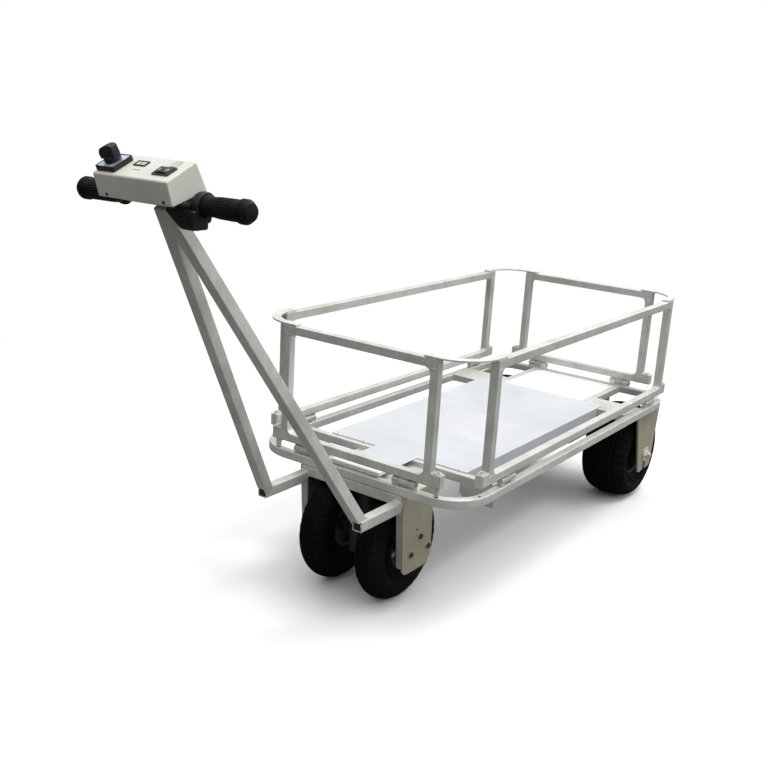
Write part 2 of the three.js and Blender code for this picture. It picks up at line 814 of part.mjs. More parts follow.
// Bottom plate inside the cover's lower edge, with two saddles for the handlebar.
function boxBase() {
  const [, , c, d] = BOX_SECTION;
  const inset = BOX.sheet + GAP;
  const edge = inset + 0.6;
  const plate = prism(
    polygon([
      [d[0] + edge, d[1] + 1],
      [c[0] - edge, c[1] + 1],
      [c[0] - edge, c[1] + 3],
      [d[0] + edge, d[1] + 3],
    ]),
    "x",
    -BOX.halfWidth + inset,
    BOX.halfWidth - inset,
  );
  const barLocal = toBox([0, BAR.y, BAR.z]);
  const saddles = [-46, 46].map((x) =>
    box([x - 9, x + 9], [barLocal.y - 8, barLocal.y + 8], [barLocal.z, barLocal.z + 17]),
  );
  const barSpace = rod("x", BAR.r + 0.4, -90, 90, [barLocal.y, barLocal.z], 16);
  return cut(join(plate, ...saddles), barSpace);
}

// A point of the part, in the tilted frame of the box.
function toBox(point) {
  const v = new THREE.Vector3(...point).sub(new THREE.Vector3(0, BOX.y, BOX.z));
  return v.applyAxisAngle(new THREE.Vector3(1, 0, 0), -BOX.tilt);
}

function switchBase() {
  const { x, y, half, top } = SWITCH;
  const plate = prism(roundedRect([x - half, x + half], [y - half, y + half], 3, 2), "z", GAP, top);
  return cut(plate, rod("z", 7, -1, top + 1, [x, y], 14));
}

// Cam-switch knob: a skirt, a raised finger bar with a raked top, and a spindle into the box.
function switchKnob() {
  const { x, y, top } = SWITCH;
  const base = top + 0.5;
  const skirt = rod("z", 14, base, base + 9, [x, y], 20);
  const side = polygon([
    [x - 17, base + 5],
    [x + 17, base + 5],
    [x + 17, base + 25],
    [x + 8, base + 26],
    [x - 17, base + 16],
  ]);
  const bar = prism(side, "y", y - 7, y + 7);
  const spindle = rod("z", 5, -6, base + 1, [x, y], 12);
  return join(skirt, bar, spindle);
}

// Rocker with two sloping halves, balanced on its pivot line.
function rocker() {
  const shape = polygon([
    [-ROCKER.halfX + 2, -5],
    [ROCKER.halfX - 2, -5],
    [ROCKER.halfX - 2.5, 3],
    [0, 5],
    [-ROCKER.halfX + 2.5, 3],
  ]);
  const key = prism(shape, "y", ROCKER.y - ROCKER.halfY + 2, ROCKER.y + ROCKER.halfY - 2);
  return key.translate(ROCKER.x, 0, 0);
}

// ---------------------------------------------------------------- assembly
add("base_ring", baseRing(), aluminium);
add("front_cross_member", frontMember(), aluminium);
add("battery_bay_frame", bayFrame(), aluminium);
add("deck_plate", deckPlate(), sheet);
add("turntable_ring", turntableRing(), nylon);
add("battery_case", batteryCase(), motorBlack);
add("battery_lid", batteryLid(), sheet);
add("battery_pack", batteryPack(), blackPlastic);

add("front_gate", hingedGate("y", -1, END_POST, END_HINGES, frontStems()), aluminium);
for (const [side, s] of SIDES) {
  const strips = [-1, 1].flatMap((end) => cornerStrip(s, end));
  add(side + "_gate", hingedGate("x", s, SIDE_POST, SIDE_HINGES, strips), aluminium);
}
add("rear_gate", hingedGate("y", 1, END_POST, END_HINGES, []), aluminium);

const HINGES = [
  ["left", "x", -1, SIDE_HINGES, ["front", "rear"]],
  ["right", "x", 1, SIDE_HINGES, ["front", "rear"]],
  ["front", "y", -1, END_HINGES, ["left", "right"]],
  ["rear", "y", 1, END_HINGES, ["left", "right"]],
];
for (const [gate, axis, out, places, words] of HINGES) {
  places.forEach((along, i) => {
    const name = gate + "_gate_" + words[i] + "_hinge";
    add(name + "_bracket", hingeBracket(axis, out, along), steel);
    add(name + "_pin", hingePin(axis, out, along), steel);
  });
}

for (const [side, s] of SIDES) {
  const front = add("front_" + side + "_tyre", tyre(FRONT), tyreRubber);
  front.position.set(s * FRONT.x, FRONT.y, FRONT.z);
  const frontRim = add("front_" + side + "_rim_and_shaft", driveRim(), rimPaint);
  frontRim.position.set(s * FRONT.x, FRONT.y, FRONT.z);
  frontRim.rotation.z = s > 0 ? 0 : Math.PI;
  const rear = add("rear_" + side + "_tyre", tyre(REAR), tyreRubber);
  rear.position.set(s * REAR.x, REAR.y, REAR.z);
  const rearHub = add("rear_" + side + "_rim", rearRim(), rimPaint);
  rearHub.position.set(s * REAR.x, REAR.y, REAR.z);
  add("rear_" + side + "_fork", rearFork(s), zinc);
  add("rear_" + side + "_axle", mirrored(rearAxle(), s, 1), steel);
  add("rear_" + side + "_axle_nut", mirrored(axleNut(), s, 1), steel);
  add("truck_" + side + "_bracket", sideBracket(s), zinc);
  add("truck_" + side + "_bearing_housing", bearingHousing(s), steel);
}
add("truck_beam", truckBeam(), aluminium);
add("kingpin", kingpin(), steel);
add("gear_case", gearCase(), motorBlack);
add("drive_motor", driveMotor(), motorBlack);
add("handle_frame", handleFrame(), aluminium);
add("handlebar", handlebar(), steel);
add("left_grip", mirrored(grip(88, GRIP_END), -1, 1), gripRubber);
add("throttle_grip", grip(HOUSING.out + 0.8, GRIP_END), gripRubber);
add("throttle_housing", throttleHousing(), blackPlastic);

const controls = new THREE.Group();
controls.position.set(0, BOX.y, BOX.z);
controls.rotation.x = BOX.tilt;
cart.add(controls);
add("control_box_cover", boxCover(), paint, controls);
add("control_box_base", boxBase(), sheet, controls);
add("power_switch_base", switchBase(), blackPlastic, controls);
add("power_switch_knob", switchKnob(), blackPlastic, controls);
add("direction_rocker", rocker(), blackPlastic, controls);

cart.position.z = -(RING_TOP + GAP + DECK_T);

export default cart;
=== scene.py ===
"""The looks of a powered pull-along cart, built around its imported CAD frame.

Geometry is written in millimetres in the part's own frame, whose origin is the middle of the
deck's top face, and is scaled to metres when a piece is made. Sizes come from the CAD nodes.
"""
import json
import math

import bmesh
import bpy
from mathutils import Matrix, Vector


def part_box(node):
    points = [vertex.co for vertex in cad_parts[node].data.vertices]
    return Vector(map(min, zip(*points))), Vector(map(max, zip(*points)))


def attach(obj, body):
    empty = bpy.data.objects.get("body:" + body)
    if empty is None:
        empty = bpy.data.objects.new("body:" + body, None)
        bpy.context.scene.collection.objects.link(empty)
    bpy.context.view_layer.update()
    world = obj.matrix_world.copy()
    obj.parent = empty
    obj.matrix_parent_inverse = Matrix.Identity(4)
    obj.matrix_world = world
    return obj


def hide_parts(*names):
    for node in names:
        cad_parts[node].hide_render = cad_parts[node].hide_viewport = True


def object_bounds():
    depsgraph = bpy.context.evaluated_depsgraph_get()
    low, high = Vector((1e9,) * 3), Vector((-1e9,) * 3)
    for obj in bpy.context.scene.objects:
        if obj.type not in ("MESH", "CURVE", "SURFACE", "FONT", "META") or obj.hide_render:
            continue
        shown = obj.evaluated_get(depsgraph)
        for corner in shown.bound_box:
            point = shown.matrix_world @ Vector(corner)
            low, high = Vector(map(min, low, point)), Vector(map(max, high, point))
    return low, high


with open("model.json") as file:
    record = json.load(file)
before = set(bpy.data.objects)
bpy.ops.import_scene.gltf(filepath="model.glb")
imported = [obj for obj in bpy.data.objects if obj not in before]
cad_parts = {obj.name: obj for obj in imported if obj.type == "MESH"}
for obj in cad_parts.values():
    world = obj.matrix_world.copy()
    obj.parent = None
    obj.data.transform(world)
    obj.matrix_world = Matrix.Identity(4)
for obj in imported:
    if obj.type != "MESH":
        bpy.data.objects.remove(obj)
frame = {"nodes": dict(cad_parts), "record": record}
cad_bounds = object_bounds()
BEHAVIOUR = frame["record"]["behaviour"]
JOINTS = {joint["name"]: joint for joint in BEHAVIOUR["joints"]}
BODY_OF = {node: body for body, nodes in BEHAVIOUR["bodies"].items() for node in nodes}
MM = 0.001
SIDES = (("left", -1), ("right", 1))
TUBE_WALL = 1.8
TUBE_EDGE = 2.6  # outer corner radius of the drawn tube


class Span:
    """The box of one CAD node, in millimetres; x, y and z are its (low, high) pairs."""

    def __init__(self, node):
        low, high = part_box(node)
        self.low = Vector(low) / MM
        self.high = Vector(high) / MM
        self.mid = (self.low + self.high) / 2
        self.size = self.high - self.low
        self.x, self.y, self.z = zip(self.low, self.high)

    def outwards(self, s):
        """The x faces on side s of the cart, the one nearer its middle first."""
        return self.x if s > 0 else self.x[::-1]


def joint_place(name):
    return Vector(JOINTS[name]["pos_m"]) / MM


def about(middle, half):
    return (middle - half, middle + half)


def shrunk(pair, by):
    return (pair[0] + by, pair[1] - by)


# ---- flat outlines
def bend(a, b, c, steps=8, first=1):
    """Points on the curve from a to c that leans towards b; a itself only if first is 0."""
    a, b, c = Vector(a), Vector(b), Vector(c)
    parts = [k / steps for k in range(first, steps + 1)]
    return [tuple(a * (1 - t) ** 2 + b * 2 * t * (1 - t) + c * t * t) for t in parts]


def rounded(points, radius, steps=4, closed=True):
    """The outline with each corner turned into a short curve. Points on the axis stay sharp."""
    result = []
    count = len(points)
    for i, point in enumerate(points):
        p = Vector(point)
        if not closed and (i in (0, count - 1) or abs(p.x) < 1e-6):
            result.append(tuple(p))
            continue
        back = Vector(points[i - 1]) - p
        ahead = Vector(points[(i + 1) % count]) - p
        reach = min(radius, back.length / 2.2, ahead.length / 2.2)
        result += bend(p + back.normalized() * reach, p, p + ahead.normalized() * reach, steps, 0)
    return result


def rectangle(u, v, radius=0.0, steps=4):
    (a, b), (c, d) = sorted(u), sorted(v)
    corners = [(a, c), (b, c), (b, d), (a, d)]
    return rounded(corners, radius, steps) if radius else corners


def circle(u, v, radius, steps=32, start=0.0, turn=2 * math.pi):
    angles = [start + turn * k / steps for k in range(steps)]
    return [(u + radius * math.cos(a), v + radius * math.sin(a)) for a in angles]


def hexagon(u, v, flats):
    return circle(u, v, flats / 2 / math.cos(math.pi / 6), 6)


def both_halves(right):
    """A closed outline from its right half."""
    return right + [(-u, v) for u, v in reversed(right)]


# ---- meshes
# Carries a shape's own (u, v, depth) onto the part: u, v are y, z or x, z or x, y.
AXES = {
    "x": Matrix(((0, 0, 1, 0), (1, 0, 0, 0), (0, 1, 0, 0), (0, 0, 0, 1))),
    "y": Matrix(((1, 0, 0, 0), (0, 0, -1, 0), (0, 1, 0, 0), (0, 0, 0, 1))),
    "z": Matrix.Identity(4),
}


def finished_mesh(obj):
    """The object's mesh with its curve settings or modifiers carried out."""
    bpy.context.view_layer.update()
    depsgraph = bpy.context.evaluated_depsgraph_get()
    return bpy.data.meshes.new_from_object(obj.evaluated_get(depsgraph))


def linked(name, data):
    obj = bpy.data.objects.new(name, data)
    bpy.context.scene.collection.objects.link(obj)
    return obj


def moved(mesh, *places):
    """The mesh, carried by each place in turn."""
    for place in places:
        mesh.transform(place)
    return mesh


def welded(mesh, distance=1e-3):
    """The mesh with its doubled points merged and its faces turned outwards."""
    work = bmesh.new()
    work.from_mesh(mesh)
    bmesh.ops.remove_doubles(work, verts=work.verts, dist=distance)
    bmesh.ops.recalc_face_normals(work, faces=work.faces)
    work.to_mesh(mesh)
    work.free()
    return mesh


def prism(loops, axis, span, bevel=0.8, bevel_steps=2):
    """A flat outline, with any holes after it, pushed along an axis, with softened edges."""
    low, high = sorted(span)
    curve = bpy.data.curves.new("outline", "CURVE")
    curve.dimensions = "2D"
    curve.fill_mode = "BOTH"
    curve.extrude = (high - low) / 2 - bevel
    curve.bevel_depth = bevel
    curve.offset = -bevel
    curve.bevel_resolution = bevel_steps - 1
    for loop in loops:
        spline = curve.splines.new("POLY")
        spline.points.add(len(loop) - 1)
        for point, (u, v) in zip(spline.points, loop):
            point.co = (u, v, 0, 1)
        spline.use_cyclic_u = True
    obj = linked("outline", curve)
    mesh = finished_mesh(obj)
    bpy.data.objects.remove(obj)
    shift = Vector((0, 0, 0))
    shift["xyz".index(axis)] = (low + high) / 2
    return welded(moved(mesh, AXES[axis], Matrix.Translation(shift)))


def block(x, y, z, bevel=0.8, radius=0.0):
    return prism([rectangle(x, y, radius)], "z", z, bevel)


def square_tube(axis, size, span, u, v, wall=TUBE_WALL, corner=TUBE_EDGE):
    """A drawn square tube, open at both ends."""
    outline = rectangle(about(u, size / 2), about(v, size / 2), corner)
    bore = rectangle(about(u, size / 2 - wall), about(v, size / 2 - wall), corner * 0.6)
    return prism([outline, bore], axis, span, 0.25, 1)


def grid_mesh(rows, closed_rows, closed_columns, caps=False):
    """A surface through rows of points, all of the same length."""
    width = len(rows[0])
    count = len(rows)
    faces = []
    for i in range(count if closed_rows else count - 1):
        j = (i + 1) % count
        for k in range(width if closed_columns else width - 1):
            m = (k + 1) % width
            faces.append((i * width + k, i * width + m, j * width + m, j * width + k))
    if caps:
        faces.append(tuple(range(width)))
        faces.append(tuple(reversed(range((count - 1) * width, count * width))))
    mesh = bpy.data.meshes.new("grid")
    mesh.from_pydata([tuple(p) for row in rows for p in row], [], faces)
    return welded(mesh)


def lathe(profile, axis, centre, segments=48, shape=None):
    """A profile of (radius, distance along) turned about an axis through centre.

    The profile closes on itself unless it starts and ends on the axis. shape may change a
    radius by its angle and place along the axis."""
    closed = abs(profile[0][0]) > 1e-6 or abs(profile[-1][0]) > 1e-6
    sign = -1 if axis == "y" else 1
    rows = []
    for k in range(segments):
        angle = 2 * math.pi * k / segments
        row = []
        for r, along in profile:
            reach = shape(r, along, angle) if shape else r
            row.append((reach * math.cos(angle), reach * math.sin(angle), sign * along))
        rows.append(row)
    return moved(grid_mesh(rows, True, closed), AXES[axis], Matrix.Translation(centre))


def sleeve(axis, outer, inner, span, centre, chamfer=0.8, segments=32):
    """A round bar between two coordinates along the axis, with a bore through it."""
    low, high = sorted(span)
    corners = [(inner, low), (outer, low), (outer, high), (inner, high)]
    place = Vector(centre)
    place["xyz".index(axis)] = 0
    return lathe(rounded(corners, chamfer, 3, inner > 0), axis, place, segments)


def rod(axis, radius, span, centre, chamfer=0.8, segments=32):
    """A solid round bar."""
    return sleeve(axis, radius, 0, span, centre, chamfer, segments)


def pipe(path, radius, ripple=0.0, sides=10):
    """A round cord through the points of path; ripple swells it as a weld bead swells."""
    points = [Vector(p) for p in path]
    rows = []
    side = Vector((0, 0, 1))
    for i, point in enumerate(points):
        ahead = points[min(i + 1, len(points) - 1)] - points[max(i - 1, 0)]
        ahead.normalize()
        if abs(ahead.dot(side)) > 0.95:
            side = Vector((1, 0, 0))
        across = ahead.cross(side).normalized()
        rise = across.cross(ahead)
        swell = radius * (1 + ripple * math.cos(i * math.pi))
        ring_points = [point + across * u + rise * v for u, v in circle(0, 0, swell, sides)]
        rows.append(ring_points)
    return grid_mesh(rows, False, True, True)


def curve_path(points, steps=12):
    """A smooth run through a few points (Catmull-Rom)."""
    p = [Vector(q) for q in points]
    p = [p[0] * 2 - p[1]] + p + [p[-1] * 2 - p[-2]]
    path = []
    for i in range(1, len(p) - 2):
        for k in range(steps):
            t = k / steps
            a = p[i] * 2
            b = (p[i + 1] - p[i - 1]) * t
            c = (p[i - 1] * 2 - p[i] * 5 + p[i + 1] * 4 - p[i + 2]) * t * t
            d = (p[i] * 3 - p[i - 1] - p[i + 1] * 3 + p[i + 2]) * t ** 3
            path.append((a + b + c + d) / 2)
    return path + [p[-2]]


def weld_bead(start, end, radius=1.5):
    """A rippled bead between two points."""
    a, b = Vector(start), Vector(end)
    count = max(3, int((b - a).length / 1.6))
    return pipe([a.lerp(b, k / count) for k in range(count + 1)], radius, 0.16, 8)


def joined(meshes):
    work = bmesh.new()
    for mesh in meshes:
        work.from_mesh(mesh)
    result = bpy.data.meshes.new("joined")
    work.to_mesh(result)
    work.free()
    return result


def cut(mesh, *tools):
    """The mesh with the tools' solids taken out of it."""
    body = linked("body", mesh)
    for tool_mesh in tools:
        tool = linked("tool", tool_mesh)
        modifier = body.modifiers.new("cut", "BOOLEAN")
        modifier.operation = "DIFFERENCE"
        modifier.solver = "EXACT"
        modifier.object = tool
        result = finished_mesh(body)
        bpy.data.objects.remove(tool)
        body.modifiers.clear()
        body.data = result
    bpy.data.objects.remove(body)
    return result


def mirrored(mesh, x=-1, y=1):
    """A copy mirrored in X and/or Y, with its faces kept pointing out."""
    copy = moved(mesh.copy(), Matrix.Diagonal((x, y, 1, 1)))
    if x * y < 0:
        copy.flip_normals()
    return copy


def piece(name, material, meshes, body=None, replaces=None, place=None, sharp=32):
    """One finished object, in metres, tied to its CAD body.

    A piece with a CAD node's name rides on that node's body and stands for the node."""
    mesh = joined(meshes)
    mesh.name = name
    moved(mesh, place or Matrix.Identity(4), Matrix.Scale(MM, 4))
    mesh.shade_smooth()
    mesh.set_sharp_from_angle(angle=math.radians(sharp))
    mesh.materials.clear()
    mesh.materials.append(material)
    obj = linked(name, mesh)
    obj.modifiers.new("normals", "WEIGHTED_NORMAL").keep_sharp = True
    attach(obj, body or BODY_OF[name])
    if replaces is None and name in BODY_OF:
        replaces = [name]
    if replaces:
        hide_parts(*replaces)


# ---- materials
EVEN = (1, 1, 1)


class Nodes:
    """A small builder for node trees."""

    def __init__(self, tree):
        self.nodes = tree.nodes
        self.links = tree.links

    def put(self, socket, value):
        """Gives a socket its value, which may be another node's output."""
        if isinstance(value, bpy.types.NodeSocket):
            self.links.new(value, socket)
        else:
            socket.default_value = (*value, 1) if socket.type == "RGBA" else value

    def add(self, kind, output, inputs=(), **settings):
        """A new node's output; inputs are (name or place, value) pairs."""
        node = self.nodes.new("ShaderNode" + kind)
        for name, value in settings.items():
            setattr(node, name, value)
        for name, value in inputs:
            self.put(node.inputs[name], value)
        return node.outputs[output]

    def ramp(self, value, low, high, out_low=0.0, out_high=1.0):
        ends = [("From Min", low), ("From Max", high), ("To Min", out_low), ("To Max", out_high)]
        return self.add("MapRange", "Result", [("Value", value)] + ends)


class Shader(Nodes):
    """A surface material on object coordinates."""

    def __init__(self, name, slot, roughness, metallic=0.0):
        self.material = bpy.data.materials.new(name)
        self.material.use_nodes = True
        super().__init__(self.material.node_tree)
        self.surface = self.nodes["Principled BSDF"]
        self.coordinates = self.add("TexCoord", "Object")
        self.set("Metallic", metallic)
        self.set("Roughness", roughness)

    def set(self, name, value):
        self.put(self.surface.inputs[name], value)

    def noise(self, scale, detail=4.0, stretch=EVEN):
        vector = self.add("Mapping", "Vector", [("Scale", stretch), ("Vector", self.coordinates)])
        inputs = [("Scale", scale), ("Detail", detail), ("Roughness", 0.6), ("Vector", vector)]
        return self.add("TexNoise", "Fac", inputs)

    def specks(self, scale):
        inputs = [("Scale", scale), ("Vector", self.coordinates)]
        return self.add("TexVoronoi", "Distance", inputs)

    def patches(self, scale, detail, low, high, stretch=EVEN):
        """Soft-edged patches: 0 where the noise is under low, 1 where it is over high."""
        return self.ramp(self.noise(scale, detail, stretch), low, high)

    def times(self, a, b):
        return self.add("Math", "Value", [(0, a), (1, b)], operation="MULTIPLY")

    def mix(self, factor, a, b):
        inputs = [("Factor", factor), (6, a), (7, b)]  # 6 and 7 are the two colours
        return self.add("Mix", 2, inputs, data_type="RGBA")

    def edge_mask(self, radius=0.0015):
        """1 on worn edges, 0 on flat faces."""
        soft = self.add("Bevel", "Normal", [("Radius", radius)], samples=4)
        true = self.add("NewGeometry", "Normal")
        dot = self.add("VectorMath", "Value", [(0, soft), (1, true)], operation="DOT_PRODUCT")
        return self.ramp(dot, 0.99, 0.85)

    def color(self, value):
        self.set("Base Color", value)

    def roughness(self, scale, detail, low, high, stretch=EVEN, start=0.3):
        noise = self.noise(scale, detail, stretch)
        self.set("Roughness", self.ramp(noise, start, 0.7, low, high))

    def bump(self, value, strength, distance=0.0004):
        inputs = [("Strength", strength), ("Distance", distance), ("Height", value)]
        for link in self.surface.inputs["Normal"].links:
            inputs.append(("Normal", link.from_socket))
        self.set("Normal", self.add("Bump", "Normal", inputs))


def scaled(color, by):
    return tuple(min(1.0, c * by) for c in color)


def grey(level):
    return (level, level, level)


def aluminium(name, slot, dark, light, roughness=0.42):
    """Bare drawn tube: cloudy oxide, fine drawing lines, small scuffs and polished edges."""
    s = Shader(name, slot, roughness, 0.42)
    base = s.mix(s.patches(12, 6, 0.34, 0.62), dark, light)
    smears = s.times(s.patches(75, 6, 0.48, 0.72, (1, 1, 0.3)), 0.3)
    base = s.mix(smears, base, scaled(dark, 0.72))
    edges = s.times(s.edge_mask(), s.ramp(s.noise(90, 3), 0.3, 0.6, 0.25, 0.9))
    s.color(s.mix(edges, base, scaled(light, 1.22)))
    s.roughness(45, 6, roughness - 0.08, roughness + 0.16)
    s.bump(s.noise(700, 2, (1, 1, 0.06)), 0.10)
    s.bump(s.noise(25, 2), 0.12, 0.0015)
    return s.material


def coated_plate(name, slot, base_a, base_b, wear, roughness=0.42, metallic=0.35):
    """Chromate or paint on plate: slow colour drift, mottling, handling marks, rubbed edges."""
    s = Shader(name, slot, roughness, metallic)
    base = s.mix(s.patches(9, 4, 0.35, 0.65), base_a, base_b)
    marks = s.times(s.patches(160, 5, 0.55, 0.8, (1, 1, 0.4)), 0.3)
    base = s.mix(marks, base, scaled(base_a, 0.7))
    s.color(s.mix(s.times(s.edge_mask(0.002), 0.7), base, wear))
    s.roughness(30, 5, roughness - 0.1, roughness + 0.12)
    s.bump(s.noise(420, 3), 0.07)
    return s.material


def deck_sheet(name, slot):
    """Smooth pale sheet with a satin skin, faint rolling lines and loading scuffs."""
    s = Shader(name, slot, 0.34, 0.25)
    base = s.mix(s.patches(3.5, 3, 0.35, 0.65), (0.60, 0.62, 0.645), (0.66, 0.675, 0.70))
    scuffs = s.times(s.patches(55, 5, 0.5, 0.85, (0.5, 1, 1)), 0.06)
    s.color(s.mix(scuffs, base, (0.58, 0.59, 0.60)))
    s.roughness(22, 6, 0.3, 0.5, (0.3, 1, 1), 0.35)
    s.bump(s.noise(140, 3, (0.4, 1, 1)), 0.02)
    return s.material


def plated_steel(name, slot, base_a, base_b, roughness=0.32):
    """Bright zinc plating with a spangle and small dull spots."""
    s = Shader(name, slot, roughness, 0.6)
    base = s.mix(s.ramp(s.specks(220), 0.0, 0.6), base_a, base_b)
    dull = s.times(s.patches(120, 5, 0.56, 0.7), 0.5)
    s.color(s.mix(dull, base, scaled(base_a, 0.6)))
    s.roughness(90, 4, roughness - 0.08, roughness + 0.14)
    s.bump(s.noise(500, 2), 0.06)
    return s.material


def dark_fastener(name, slot):
    """Oiled black bolt with brown bloom."""
    s = Shader(name, slot, 0.45, 0.6)
    s.color(s.mix(s.patches(260, 4, 0.42, 0.66), (0.035, 0.032, 0.026), (0.16, 0.12, 0.06)))
    s.roughness(320, 3, 0.34, 0.62)
    s.bump(s.noise(600, 2), 0.15)
    return s.material


def tyre_rubber(name, slot):
    """Black rubber with a dry grey bloom and road dust held in the tread."""
    s = Shader(name, slot, 0.72)
    s.set("Specular IOR Level", 0.12)
    base = s.mix(s.patches(16, 5, 0.4, 0.7), (0.002, 0.002, 0.0021), (0.0045, 0.0045, 0.005))
    dust = s.times(s.patches(70, 7, 0.6, 0.78), 0.2)
    s.color(s.mix(dust, base, (0.04, 0.037, 0.032)))
    s.roughness(40, 5, 0.6, 0.85)
    s.bump(s.noise(900, 3), 0.22, 0.0003)
    s.bump(s.noise(120, 4), 0.14, 0.0008)
    return s.material


def grip_rubber(name, slot):
    """Soft black rubber with a fine pebbled skin."""
    s = Shader(name, slot, 0.68)
    s.set("Specular IOR Level", 0.2)
    s.color(s.mix(s.patches(60, 4, 0.4, 0.7), (0.003, 0.003, 0.0033), (0.007, 0.007, 0.0078)))
    s.roughness(90, 5, 0.52, 0.78)
    s.bump(s.specks(900), 0.2, 0.0002)
    return s.material


def moulded_plastic(name, slot, base_a, base_b, roughness=0.5):
    """Fine spark-eroded grain and faint flow marks."""
    s = Shader(name, slot, roughness)
    s.color(s.mix(s.patches(35, 4, 0.35, 0.65), base_a, base_b))
    s.roughness(70, 4, roughness - 0.12, roughness + 0.12)
    s.bump(s.noise(1500, 2), 0.16, 0.0002)
    return s.material


def powder_coat(name, slot, base_a, base_b):
    """Pale enamel with orange peel, a little yellowing and chipped folds."""
    s = Shader(name, slot, 0.38)
    base = s.mix(s.patches(11, 4, 0.35, 0.7), base_a, base_b)
    grime = s.times(s.patches(55, 7, 0.55, 0.75), 0.16)
    base = s.mix(grime, base, (0.38, 0.36, 0.30))
    chips = s.times(s.edge_mask(0.0012), s.patches(260, 4, 0.58, 0.66))
    s.color(s.mix(chips, base, (0.42, 0.42, 0.40)))
    s.roughness(60, 4, 0.3, 0.5)
    s.bump(s.noise(420, 2), 0.12, 0.0003)
    return s.material


def painted_black(name, slot, base_a, base_b):
    """Black paint on castings, rubbed grey along the edges."""
    s = Shader(name, slot, 0.45, 0.3)
    base = s.mix(s.patches(24, 4, 0.35, 0.65), base_a, base_b)
    s.color(s.mix(s.times(s.edge_mask(), 0.5), base, grey(0.16)))
    s.roughness(60, 5, 0.35, 0.6)
    s.bump(s.noise(300, 3), 0.12, 0.0004)
    return s.material


def glass_window(name, slot):
    """The meter's grey lens, lightly clouded."""
    s = Shader(name, slot, 0.12)
    s.color(s.mix(s.patches(80, 3, 0.35, 0.65), (0.42, 0.43, 0.42), (0.55, 0.56, 0.55)))
    s.set("Coat Weight", 0.6)
    s.bump(s.noise(200, 2), 0.02)
    return s.material


def floor_surface(name):
    """Matt pale floor that melts into the white surroundings a few metres out."""
    s = Shader(name, None, 0.85)
    camera_ray = s.add("LightPath", "Is Camera Ray")
    seen = s.mix(s.noise(1.5, 3), grey(0.86), grey(0.88))
    s.color(s.mix(camera_ray, grey(0.20), seen))
    s.bump(s.noise(60, 3), 0.02)
    distance = s.add("VectorMath", "Value", [(0, s.coordinates)], operation="LENGTH")
    glow = s.add("Emission", "Emission", [("Strength", s.ramp(camera_ray, 0.0, 1.0, 0.12, 1.0))])
    layers = [("Fac", s.ramp(distance, 1.2, 2.6)), (1, s.surface.outputs["BSDF"]), (2, glow)]
    blend = s.add("MixShader", "Shader", layers)
    s.put(s.nodes["Material Output"].inputs["Surface"], blend)
    return s.material


RING_ALUMINIUM = aluminium("ring aluminium", "ring_aluminium", (0.56, 0.565, 0.53), (0.69, 0.69, 0.665))
GATE_ALUMINIUM = aluminium("gate aluminium", "gate_aluminium", (0.54, 0.55, 0.50), (0.68, 0.685, 0.65))
HANDLE_ALUMINIUM = aluminium(
    "handle aluminium", "handle_aluminium", (0.51, 0.525, 0.47), (0.66, 0.665, 0.62), 0.46
)
STRIP_ALUMINIUM = aluminium(
    "strip aluminium", "gate_aluminium", (0.65, 0.655, 0.63), (0.77, 0.77, 0.745), 0.38
)
DECK_SHEET = deck_sheet("deck sheet", "deck_sheet")
ZINC_PLATE = coated_plate(
    "khaki plate", "zinc_plate", (0.37, 0.35, 0.25), (0.45, 0.43, 0.32), (0.62, 0.62, 0.56)
)
FLANGE_PLATE = coated_plate(
    "pale plate", "zinc_plate", (0.43, 0.46, 0.45), (0.50, 0.54, 0.53), grey(0.7)
)
RIM = coated_plate(
    "rim paint", "rim_paint", (0.035, 0.037, 0.04), (0.055, 0.058, 0.06), grey(0.16), 0.45, 0.4
)
# One zinc plating in two tones: this grey one stands as painted shade on the front and side gates' hinges,
# and the lighter copy below is a painted highlight on the rear gate's hinges, lit from above.
STEEL = plated_steel("bright steel", "plain_steel", (0.56, 0.56, 0.55), (0.66, 0.66, 0.65))
LIT_HINGE_STEEL = plated_steel("fresh zinc", "plain_steel", grey(0.78), grey(0.86))
WASHER_STEEL = plated_steel("washer steel", "plain_steel", (0.70, 0.67, 0.56), (0.80, 0.78, 0.68))
FACE_PLATE = plated_steel("switch face", "black_plastic", (0.50, 0.60, 0.74), (0.62, 0.71, 0.82), 0.3)
BOLT = dark_fastener("dark bolt", "plain_steel")
TYRE = tyre_rubber("tyre rubber", "tyre_rubber")
GRIP = grip_rubber("grip rubber", "grip_rubber")
PLASTIC = moulded_plastic("black plastic", "black_plastic", (0.003, 0.003, 0.0035), (0.007, 0.007, 0.008))
CABLE = moulded_plastic("cable sheath", "black_plastic", grey(0.012), grey(0.02), 0.42)
NYLON = moulded_plastic("nylon", "nylon", (0.72, 0.72, 0.68), (0.80, 0.80, 0.76), 0.45)
BOX_PAINT = powder_coat("box enamel", "box_paint", (0.66, 0.65, 0.58), (0.74, 0.73, 0.67))
WHITE_ENAMEL = powder_coat("white enamel", "deck_sheet", (0.80, 0.80, 0.78), (0.86, 0.86, 0.84))
HOUSING_PAINT = painted_black(
    "black housing", "black_housing", (0.018, 0.020, 0.022), (0.035, 0.038, 0.042)
)
LENS = glass_window("meter lens", "box_paint")

# ---- driving sizes
ring = Span("base_ring")
TUBE = ring.size.z
HALF_W = ring.high.x
HALF_L = ring.high.y
CORNER_R = 100
RING_MID = ring.mid.z
HINGE_Z = joint_place("left_gate_fold").z
GATE_LOW = 2 * HINGE_Z - ring.high.z
GATE_TOP = Span("front_gate").high.z
END_POST = HALF_W - CORNER_R
SIDE_POST = HALF_L - CORNER_R
LUG_LENGTH = Span("front_gate").high.x - END_POST - TUBE / 2
LUG_H = 29
LOCK_HOLE_R = 4.5
KNUCKLE_HALF = 13  # half the length of a gate's hinge barrel
FLANGE_DEPTH = 30  # how far the deck's sides are folded down
CORNER_PLATE_BACK = 390


